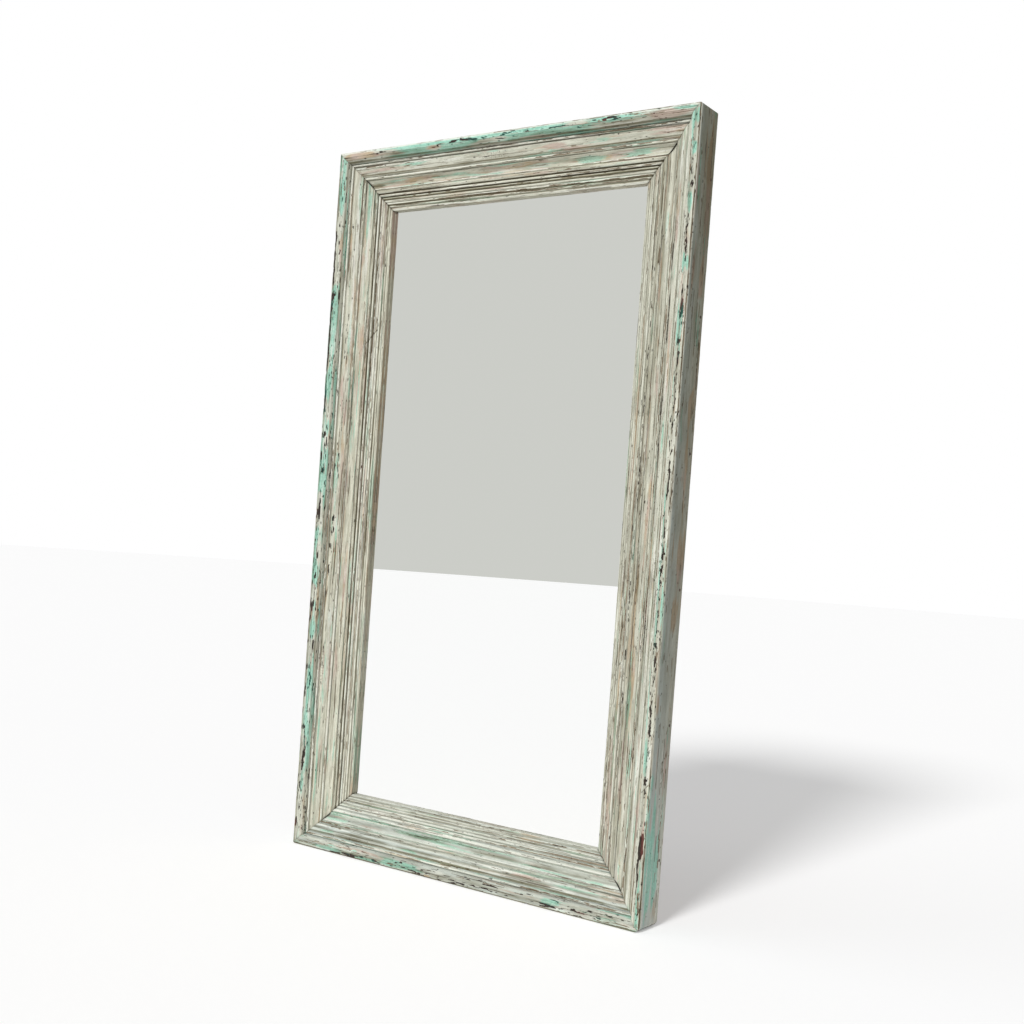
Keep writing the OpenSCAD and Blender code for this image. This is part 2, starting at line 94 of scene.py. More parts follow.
camera = added("camera", bpy.data.cameras.new("camera"))
bpy.context.scene.camera = camera
camera.location = (1.8593, -2.5580, 0.8299)
camera.rotation_mode = "QUATERNION"
camera.rotation_quaternion = look(azimuth=34.763, above=1.2456, roll=4.185).to_quaternion()
camera.data.sensor_width = 36
camera.data.lens = 46.08
camera.data.shift_y = 0.0566
camera.data.clip_end = 120
bpy.context.scene.view_settings.view_transform = "Standard"
print("camera stands", round(camera.location.length, 2), "m from the origin")

# %% [markdown]
# ## Shader graphs written as sums
#
# A worn finish is arithmetic on masks, such as `grime * 0.6 + (1 - worn) * 0.2`. Wired by hand that is a page of
# small nodes. So `Term` wraps one socket and gives it Python's operators, and each operator adds its Math node.
# Colours are grey after a Math node, so they are mixed with Mix nodes instead. `Finish` holds one graph.

# %% A small language for finishes
class Term:
    """One socket of a graph. Each sum, difference or product of terms and numbers adds a Math node, and so does
    a | b, which is the larger of the two: a place has wear if either mask has it."""

    def __init__(self, finish, socket):
        self.finish, self.socket = finish, socket

    def math(self, operation, other):
        return self.finish.node("Math", {"operation": operation}, [self, other])

    __add__, __sub__ = partialmethod(math, "ADD"), partialmethod(math, "SUBTRACT")
    __mul__, __or__ = partialmethod(math, "MULTIPLY"), partialmethod(math, "MAXIMUM")

    def __rsub__(self, number):
        return self.finish.node("Math", {"operation": "SUBTRACT"}, [number, self])

    def sway(self, amount):
        """A noise about 0.5 as a swing about zero: (noise - 0.5) * amount."""
        return (self - 0.5) * amount


class Finish:
    """The graph of a new material, or of a given world, made of expressions. Most methods return a Term."""

    def __init__(self, name, owner=None):
        self.owner = owner or bpy.data.materials.new(name)
        self.owner.use_nodes = True
        self.tree = self.owner.node_tree
        self.tree.nodes.clear()

    def node(self, kind, settings=None, values=(), output=0):
        """Adds one node: first its settings, then the value or link of each input, by position or name."""
        made = self.tree.nodes.new("ShaderNode" + kind)
        for key, value in (settings or {}).items():
            setattr(made, key, value)
        for key, value in values.items() if isinstance(values, dict) else enumerate(values):
            if isinstance(value, Term):
                self.tree.links.new(value.socket, made.inputs[key])
            elif value is not None:
                made.inputs[key].default_value = value
        return Term(self, made.outputs[output] if made.outputs else None)

    def ray(self, kind):
        """1 for a ray of this kind: Camera, Glossy or Transmission."""
        return self.node("LightPath", output=f"Is {kind} Ray")

    def place(self):
        """Where a point lies on the object, in metres."""
        return self.node("TexCoord", output="Object")

    def axis(self, vector, which):
        return self.node("SeparateXYZ", {}, [vector], which)

    def step(self, value, low, high):
        """0 below low, 1 above high, and the cubic 3x^2 - 2x^3 between them."""
        return self.node("MapRange", {"interpolation_type": "SMOOTHSTEP"}, [value, low, high, 0.0, 1.0])

    def noise(self, vector, factors, detail=3.0, rough=0.55, twist=0.0):
        """Cloud noise, about 0.3 to 0.7, on a vector stretched by three factors."""
        stretched = self.node("VectorMath", {"operation": "MULTIPLY"}, [vector, factors])
        return self.node("TexNoise", {}, {
            "Vector": stretched, "Scale": 1.0, "Detail": detail, "Roughness": rough, "Distortion": twist})

    def blend(self, share, first, second, kind="MIX"):
        """Colour first where share is 0, second where it is 1."""
        return self.node("Mix", {"data_type": "RGBA", "blend_type": kind}, {0: share, 6: first, 7: second}, 2)

    def sine(self, angle):
        return self.node("Math", {"operation": "SINE"}, [angle])

    def mesh_value(self, name):
        return self.node("Attribute", {"attribute_name": name}, (), 2)

    def bump(self, height, strength, distance):
        return self.node("Bump", {}, {"Strength": strength, "Distance": distance, "Height": height})

    def surface(self, **sockets):
        """The Principled shader with these sockets, and the output. Returns the material."""
        names = {"color": "Base Color", "rough": "Roughness", "metal": "Metallic", "normal": "Normal",
                 "level": "Specular IOR Level"}
        shader = self.node("BsdfPrincipled", {}, {names[k]: v for k, v in sockets.items()})
        self.node("OutputMaterial", {}, [shader])
        return self.owner


def shade(red, green, blue):
    """A colour as it looks on screen, 0 to 255, as the linear values that a shader takes."""
    c = np.array([red, green, blue]) / 255
    linear = np.where(c <= 0.04045, c / 12.92, ((c + 0.055) / 1.055) ** 2.4)
    return (*linear.tolist(), 1.0)


print("cream is", [round(x, 3) for x in shade(224, 220, 203)[:3]])

# %% [markdown]
# ## The studio
#
# A plain pale floor carries the shadow. It is a matt surface, and for the camera and for reflections it also glows a
# little, so that it comes out white where nothing shades it. The world does the same: it lights the mirror as an
# even pale sky, and what the camera sees of it is white. The pane reflects a slightly greyer sky, as a far wall.

# %% Floor and world
WHITE, FILL = (1.0, 1.0, 1.0, 1.0), 0.27  # FILL is how strongly the sky shines and the floor glows


def floor_finish():
    f = Finish("studio_floor")
    matt = f.node("BsdfDiffuse", {}, [(0.96, 0.96, 0.96, 1)])
    glow = f.node("Emission", {}, [WHITE, FILL])
    both = f.node("AddShader", {}, [matt, glow])
    seen = f.ray("Camera") | f.ray("Glossy") | f.ray("Transmission")
    f.node("OutputMaterial", {}, [f.node("MixShader", {}, [seen, matt, both])])
    return f.owner


def disc(name, radius, corners):
    """A flat round floor: points at equal angles on a circle."""
    turn = np.linspace(0, 2 * pi, corners, endpoint=False)
    points = np.column_stack([radius * np.cos(turn), radius * np.sin(turn), np.zeros(corners)])
    mesh = bpy.data.meshes.new(name)
    mesh.from_pydata(points.tolist(), [], [list(range(corners))])
    return added(name, mesh)


floor = disc("studio_floor", radius=26.0, corners=96)
floor.data.materials.append(floor_finish())

sky = Finish("studio", bpy.data.worlds.new("studio"))
bpy.context.scene.world = sky.owner
light_sky, white_sky, wall_sky = (sky.node("Background", {}, [color, strength]) for color, strength in (
    (WHITE, FILL), (WHITE, 1.0), (shade(205, 206, 201), 1.0)))
mirrored = sky.ray("Glossy") | sky.ray("Transmission")
pale = sky.node("MixShader", {}, [mirrored, light_sky, wall_sky])
sky.node("OutputWorld", {}, [sky.node("MixShader", {}, [sky.ray("Camera"), pale, white_sky])])


def lamp(name, energy, width, azimuth, above):
    """A far lamp that shines from a direction and looks width degrees wide, which softens its shadows."""
    made = added(name, bpy.data.lights.new(name, "SUN"))
    made.data.energy, made.data.angle = energy, radians(width)
    made.rotation_mode = "QUATERNION"
    made.rotation_quaternion = look(azimuth, above, 0).to_quaternion()
    made.visible_glossy = False


lamp("key_lamp", energy=2.34, width=14, azimuth=4, above=33)
lamp("side_window", energy=0.4, width=55, azimuth=-62, above=24)
print("key lamp 33 degrees up, a wide soft one from the left")

# %% [markdown]
# ## Sections of the mouldings
#
# A moulding is one section carried along a straight line. Each section here is a closed outline in the plane (u, v):
# u runs inward from the frame's outer edge and v runs back. It is drawn as with a pen, in straight lines and arcs,
# finely divided where it shows and coarsely where it is glued to its neighbour.

# %% Lines and arcs
def line(start, end, spacing):
    """Points from start to end, evenly spaced: start + share * (end - start)."""
    start, end = np.array(start, float), np.array(end, float)
    count = max(1, ceil(np.linalg.norm(end - start) / spacing))
    return start + np.linspace(0, 1, count + 1)[:, None] * (end - start)


def arc(centre, radius, start, end, spacing):
    """Points centre + radius * (cos a, sin a), with a going from start to end in degrees."""
    count = max(2, ceil(abs(radians(end - start)) * radius / spacing))
    a = np.radians(np.linspace(start, end, count + 1))
    return np.array(centre, float) + radius * np.column_stack([np.cos(a), np.sin(a)])


def bow(start, end, rise, spacing):
    """A flat arc as a parabola: start + s * (end - start) + 4 * rise * s * (1 - s) * normal, bulging to the front."""
    chord = line(start, end, spacing)
    s = np.linspace(0, 1, len(chord))[:, None]
    across = np.array(end, float) - np.array(start, float)
    return chord + 4 * rise * s * (1 - s) * np.array([across[1], -across[0]]) / np.linalg.norm(across)


def outline(start, *steps):
    """A loop that leaves start and comes back to it. A step is the end and spacing of a straight line, the points
    of a curve, or a surface, which holds for the steps after it. Returns the points and the surface of each."""
    here, points, surfaces = start, [], []
    for step in steps:
        if isinstance(step, int):
            surface = step
            continue
        run = line(here, *step) if isinstance(step, tuple) else step
        here = run[-1].round(9)
        points.append(run[:-1])
        surfaces += [surface] * (len(run) - 1)
    return np.vstack(points), np.array(surfaces)


# %% The four sections
# Glued or inside, the painted front, the painted outer side, the back, the narrow side of the lip over the glass.
INSIDE, FRONT, SIDE, BACK, LIP = range(5)


def outer_board_outline():
    """Round front arris of 4, flat to 14, a step of 1.2 and a quarter-round shoulder of 14."""
    return outline(
        (FRIEZE_U, FRAME_D), INSIDE, ((FRIEZE_U, 24), 10), FRONT, ((FRIEZE_U, 15.2), 1.5),
        arc((14, 15.2), 14, 0, -90, 1.1), ((14, 0), 0.6), ((4, 0), 1.25), arc((4, 4), 4, -90, -180, 0.8),
        SIDE, ((0, 81), 2.8), arc((3, 81), 3, 180, 90, 0.95), BACK, ((FRIEZE_U, FRAME_D), 4.0))


def frieze_outline():
    """A half-round fillet, a groove and a broad face that slopes back by 12 and bulges by 0.8."""
    return outline(
        (FRIEZE_U, SUBFRAME_V), INSIDE, ((FRIEZE_U, 19.5), 10), FRONT, arc((31.5, 19.5), 3.5, 180, 360, 0.8),
        ((35, 20), 1.0), ((38, 20), 0.8), ((38, 17), 0.9), bow((38, 17), (60.4, 29), 0.8, 0.9),
        ((60.4, 31), 0.8), ((COVE_U, 31), 0.8), INSIDE, ((COVE_U, SUBFRAME_V), 10), ((FRIEZE_U, SUBFRAME_V), 10))


def cove_outline():
    """A bead, a quirk, a hollow 4.2 deep below its edges, a quirk, a broad half-round, a quirk, a small bead."""
    return outline(
        (COVE_U, SUBFRAME_V), INSIDE, ((COVE_U, 32.2), 10), FRONT, arc((65.2, 32.2), 3.2, 180, 360, 0.8),
        ((68.4, 35), 0.9), ((70, 35), 0.8), ((70, 33), 0.9), bow((70, 33), (93.3, 38.5), -4.2, 0.95),
        ((93.3, 42.5), 0.9), ((94.9, 42.5), 0.8), ((94.9, 41.75), 0.8), arc((99.65, 41.75), 4.75, 180, 360, 0.85),
        ((104.4, 42.5), 0.8), ((106.34, 42.5), 0.8), arc((109.5, 44), 3.5, 205.4, 360, 0.8),
        ((SLIP_U, 45.5), 0.8), INSIDE, ((SLIP_U, SUBFRAME_V), 5), ((COVE_U, SUBFRAME_V), 10))


REEDS, PITCH, SINK = 5, 6.4, 2.25  # each reed lies SINK further back than the one before


def reeded_outline():
    """Five reeds of radius 3.52 on a slope, each the upper arc of its circle, and a lip beside the glass."""
    radius, clear = PITCH * 0.55, 9.0
    first = (SLIP_U + 1 + PITCH / 2, 42 + radius)
    last = (first[0] + (REEDS - 1) * PITCH, first[1] + (REEDS - 1) * SINK)
    u = np.linspace(SLIP_U, LIP_U - 2, 1400)
    slope = np.interp(u, [first[0], last[0]], [first[1], last[1]])
    reeds = []
    for i in range(REEDS):
        off = u - first[0] - i * PITCH
        crown = np.sqrt(np.clip(radius**2 - off**2, 0, None))
        reeds.append(first[1] + i * SINK - crown + clear * (abs(off) > radius))
    top = np.column_stack([u, np.minimum(slope, np.min(reeds, axis=0))])
    walked = np.concatenate([[0], np.cumsum(np.linalg.norm(np.diff(top, axis=0), axis=1))])
    even = np.linspace(0, walked[-1], int(walked[-1] / 0.72))
    top = np.column_stack([np.interp(even, walked, top[:, 0]), np.interp(even, walked, top[:, 1])])
    return outline(
        (SLIP_U, SUBFRAME_V), INSIDE, (top[0], 5), FRONT, top, line(top[-1], (LIP_U - 2, LIP_V), 0.7),
        ((LIP_U, LIP_V), 0.7), LIP, ((LIP_U, GLASS_V), 1.5), INSIDE, ((REBATE_U, GLASS_V), 10),
        ((REBATE_U, SUBFRAME_V), 10), ((SLIP_U, SUBFRAME_V), 10))


OUTLINES = {"outer_board": outer_board_outline(), "frieze": frieze_outline(),
            "cove": cove_outline(), "reeded_slip": reeded_outline()}
print({name: f"{len(points)} points" for name, (points, kind) in OUTLINES.items()})

# %% [markdown]
# ## Where a section wears
#
# Hands, brooms and sandpaper reach what stands out, and dirt stays in what lies low. Both can be read from the
# outline: a point that lies outside the middle of its two neighbours a few millimetres away is on an edge, and one
# that lies inside it is in a groove. The paint also uses them for light: paler edges partly as a painted highlight,
# darker grooves partly as painted shade.

# %% Reading an outline
STRIDE = 2.6


def measure(points):
    """For a closed loop: distance walked, outward normals, how far each point stands out from the middle of the
    points a stride before and after it, positive on an edge and negative in a groove, and which way it runs."""
    ahead = np.roll(points, -1, axis=0)
    step = np.linalg.norm(ahead - points, axis=1)
    walked = np.concatenate([[0], np.cumsum(step)])
    along = (ahead - points) / step[:, None]
    area = 0.5 * np.sum(points[:, 0] * ahead[:, 1] - ahead[:, 0] * points[:, 1])
    normal = np.column_stack([along[:, 1], -along[:, 0]]) * (1 if area > 0 else -1)
    normal = normal + np.roll(normal, 1, axis=0)
    normal /= np.linalg.norm(normal, axis=1)[:, None]
    loop = np.vstack([points, points[:1]])

    def at(distance):
        d = np.mod(distance, walked[-1])
        return np.column_stack([np.interp(d, walked, loop[:, k]) for k in (0, 1)])

    middle = (at(walked[:-1] - STRIDE) + at(walked[:-1] + STRIDE)) / 2
    return walked, normal, np.sum((points - middle) * normal, axis=1), area > 0


for name, (points, kind) in OUTLINES.items():
    walked, normal, proud, forward = measure(points)
    print(name, f"walk {walked[-1]:.0f} mm, proudest {proud.max():.1f}, lowest {proud.min():.1f}")

# %% [markdown]
# ## Noise that follows the grain
#
# Timber and old paint break up along the grain. Value noise does this well: random heights on a lattice whose cells
# are long along the grain and narrow across it, read smoothly in between. Several such sheets, each half the size
# and half the strength of the last, give the ragged look. A threshold taken at a quantile then marks exactly the
# share of the surface that should be worn.

# %% Grain noise
def ease(x):
    """0 to 1 with a soft start and end: 3x^2 - 2x^3."""
    x = np.clip(x, 0, 1)
    return x * x * (3 - 2 * x)


def grain_noise(rng, along, across, long_cell, narrow_cell, sheets=4):
    """Sum of value noise on lattices of long_cell by narrow_cell mm, halved in size and strength each time."""
    total, weight = 0.0, 0.0
    for k in range(sheets):
        a, b = along / (long_cell / 2**k), across / (narrow_cell / 2**k)
        i, j = np.floor(a).astype(int), np.floor(b).astype(int)
        i0, j0 = i.min(), j.min()
        lattice = rng.random((i.max() - i0 + 2, j.max() - j0 + 2))
        fa, fb = ease(a - i), ease(b - j)
        i, j = i - i0, j - j0
        total = total + 0.5**k * (
            lattice[i, j] * (1 - fa) * (1 - fb) + lattice[i + 1, j] * fa * (1 - fb)
            + lattice[i, j + 1] * (1 - fa) * fb + lattice[i + 1, j + 1] * fa * fb)
        weight += 0.5**k
    return total / weight


print("noise from", *(round(float(x), 2) for x in np.quantile(
    grain_noise(np.random.default_rng(1), *np.meshgrid(np.arange(400.0), np.arange(40.0)), 30, 3), [0.02, 0.98])))

# %% [markdown]
# ## Carrying a section between its mitres
#
# Both ends of a member lie in the planes that halve the frame's corners, so a point that is u from the outer edge
# starts u from the end. Rows of points are laid at equal shares of what is left, and closer together at the ends,
# where the joint opens a little. The grid is one tube: rows along the member, columns round its section.

# %% From section to grid
ROW_PITCH = 2.3


def rows_along(length, pitch):
    """Distances from one end: fine steps at both ends, even steps of about pitch between them."""
    end = np.array([0, 0.35, 0.8, 1.4, 2.2, 3.2, 4.6])
    middle = np.linspace(6.4, length - 6.4, int((length - 12.8) / pitch))
    return np.concatenate([end, middle, length - end[::-1]])


def placed(side, u, v, along):
    """Points of a member in metres. along runs up the uprights, and from left to right on the others."""
    if side in ("left", "right"):
        x, z = (u - FRAME_W / 2) * (1 if side == "left" else -1), along
    else:
        x, z = along - FRAME_W / 2, u if side == "bottom" else FRAME_H - u
    return np.stack(np.broadcast_arrays(x, FRONT_Y + v, z), axis=-1).reshape(-1, 3) / 1000


def tube(name, points, rows, columns, flip, grain):
    """A closed tube of rows by columns points, with a flat face at each end. grain gives for each corner of each
    face its distance along and across the grain, in metres, as the map of that name."""
    i, j = np.meshgrid(np.arange(rows - 1), np.arange(columns), indexing="ij")
    corners = [(i, j), (i, j + 1), (i + 1, j + 1), (i + 1, j)]
    quads = np.stack([a * columns + b % columns for a, b in corners], -1).reshape(-1, 4)
    spots = np.stack([np.stack([a, b], -1) for a, b in corners], -2).reshape(-1, 4, 2)
    first, last = np.arange(columns)[::-1], (rows - 1) * columns + np.arange(columns)
    if flip:
        quads, spots, first, last = quads[:, ::-1], spots[:, ::-1], first[::-1], last[::-1]
    loops = np.concatenate([quads.ravel(), first, last])
    starts = np.concatenate([np.arange(len(quads)) * 4, len(quads) * 4 + np.array([0, columns])])
    mesh = bpy.data.meshes.new(name)
    for part, field, values in ((mesh.vertices, "co", points.astype(np.float32)),
                                (mesh.loops, "vertex_index", loops.astype(np.int32)),
                                (mesh.polygons, "loop_start", starts.astype(np.int32))):
        part.add(len(values))
        part.foreach_set(field, values.ravel())
    mesh.update(calc_edges=True)
    along, across = grain
    flat = np.concatenate([spots.reshape(-1, 2), np.column_stack([first * 0, first]),
                           np.column_stack([last * 0 + rows - 1, last % columns])])
    uv = np.column_stack([along[flat[:, 0], flat[:, 1] % columns], across[flat[:, 1]]])
    mesh.uv_layers.new(name="grain").data.foreach_set("uv", uv.astype(np.float32).ravel())
    mesh.validate()
    mesh.shade_smooth()
    mesh.set_sharp_from_angle(angle=radians(48))
    return added(name, mesh)


def give(piece, name, values):
    """Stores one number for each point of the mesh under a name that its material reads."""
    piece.data.attributes.new(name, "FLOAT", "POINT").data.foreach_set("value", values.astype(np.float32).ravel())


print("rows on an upright:", len(rows_along(FRAME_H, ROW_PITCH)))

# %% [markdown]
# ## What each member looks like
#
# The paint isn't the same all round the frame. The outer band on the left and along the top kept most of its mint
# green, the right side and the bottom are nearly cream, and the inner layers are cream with streaks. So each member
# has a short recipe: the shares of mint, of warm tan or pink, of pale scuffs, of bare timber and of chips, and then
# how cool the cream is. `JOINT_DIRT_AND_SHADE` is how dark each groove at `JOINT_U` is made, from the outer joint to
# the lip:
# dirt, and painted shade with it. `TONE_AND_SHADE_BANDS` run all along a side: how far inward, the half width, and
# how much darker the band is, or paler where it is below 0. They carry the paint's own tone, and also painted shade
# in the grooves and under the bottom's front edge, and a painted highlight on the crests.

# %% Recipes
RECIPES = {
    "outer_board": [
        (0.32, 0.06, 0.12, 0.03, 0.05, 0.25), (0.16, 0.12, 0.16, 0.05, 0.026, 0.2),
        (0.42, 0.1, 0.1, 0.05, 0.018, 0.25), (0.2, 0.1, 0.2, 0.05, 0.03, 0.6)],
    "frieze": [
        (0.1, 0.24, 0.16, 0.04, 0.012, 0.05), (0.08, 0.16, 0.2, 0.04, 0.014, 0.2), (0.1, 0.24, 0.16, 0.04, 0.01, 0.1),
        (0.12, 0.1, 0.22, 0.04, 0.012, 0.6)],
    "cove": [
        (0.12, 0.22, 0.16, 0.04, 0.009, 0.0), (0.08, 0.2, 0.18, 0.04, 0.012, 0.1),
        (0.1, 0.24, 0.12, 0.05, 0.008, 0.05), (0.2, 0.08, 0.18, 0.04, 0.009, 0.55)],
    "reeded_slip": [
        (0.12, 0.18, 0.16, 0.04, 0.009, 0.0), (0.08, 0.18, 0.16, 0.04, 0.014, 0.15),
        (0.08, 0.12, 0.12, 0.05, 0.008, 0.1), (0.08, 0.08, 0.14, 0.04, 0.009, 0.45)]}
JOINT_U = (28, 36.5, 69, 94, 105, 113, 125, 148)
JOINT_DIRT_AND_SHADE = {
    "left": (0.1, 0.75, 0.5, 0.35, 0.8, 0.8, 0.8, 0.7),
    "right": (0.3, 0.15, 0.35, 0.6, 0.6, 0.3, 0.8, 0.8),
    "top": (0.15, 1.0, 0.5, 0.1, 1.0, 1.0, 0.85, 0.3),
    "bottom": (0.2, 0.3, 0.1, 0.1, 0.45, 0.2, 0.75, 0.25)}
TONE_AND_SHADE_BANDS = {
    "left": [
        (6, 5, 0.52), (19, 4, 0.16), (25.2, 1.6, 0.5), (31.8, 2.6, -0.9), (38.8, 2.6, 0.6), (50, 6, 0.18),
        (57.5, 2.5, 0.16), (65.5, 3, -0.45), (98.6, 3.4, 0.5), (93.3, 1.4, -0.5), (105.6, 1.8, 0.9),
        (110.2, 1.5, -0.6), (115.6, 2.0, 1.3), (119.2, 2.4, -0.7), (129.5, 2.0, -0.7), (135.2, 2.2, 0.6),
        (143, 4, 0.18)],
    "right": [
        (1.8, 1.6, 0.4), (9.6, 3, 0.16), (13.4, 4, 0.18), (32, 2.6, -0.4), (56.4, 4.2, 0.36), (90, 3, 0.36),
        (80, 75, 0.14), (96, 2, 0.14), (101, 3.6, 0.42), (109.5, 2.6, 0.16), (124.6, 2.6, 0.32), (130, 2.5, 0.12),
        (137, 2, 0.14), (143, 5, 0.18)],
    "top": [
        (2.2, 3.2, -0.9), (19, 5, 0.46), (25.8, 1.8, 0.8), (31.4, 2.6, -0.6), (38, 1.4, 0.46), (58.0, 1.8, 0.75),
        (64.6, 2, -1.0), (75, 5, 0.08), (84, 6, 0.16), (92.5, 3, -0.6), (99.6, 3, 0.28), (103.2, 1.0, -0.6),
        (105.4, 1.5, 1.2), (110.8, 1.2, -0.8), (114.4, 1.8, 1.2), (119.6, 2.0, 1.15), (130.6, 1.4, -0.8),
        (133.6, 1.8, 1.0), (141, 2.6, 0.5), (144.6, 1.8, -1.0)],
    # On the bottom, the first band darkens the lowest front edge: a painted shadow under it.
    "bottom": [
        (0, 3.2, 1.6), (8, 6, 0.4), (16, 2.4, -0.2), (20, 8, 0.36), (31.8, 2.4, -0.2), (41.0, 2.6, 0.95),
        (47, 3, 0.2), (51.4, 3, 0.5), (57, 2, -0.25), (60, 1.6, 0.45), (66, 3, 0.28), (71, 2.2, -0.4),
        (80, 3.5, 0.18), (85, 7, 0.34), (98.5, 3, -0.5), (108.7, 2, -0.5), (123, 2, 0.3), (130.4, 1.8, 0.6),
        (133.4, 1.2, -0.6), (136.2, 2, 0.46), (142.6, 2.6, 0.55), (147.6, 1.4, -0.6)]}
print(4 * len(RECIPES), "members,", sum(len(v) for v in TONE_AND_SHADE_BANDS.values()), "bands")

# %% [markdown]
# ## Landmarks
#
# What has a place of its own is listed by member and sort: how far along, how far in from the outer edge, the half
# length, the half width and the strength, which is below 0 where there is less of it. Uprights are measured from the
# floor, and the outer side is counted as negative, from the front edge back.

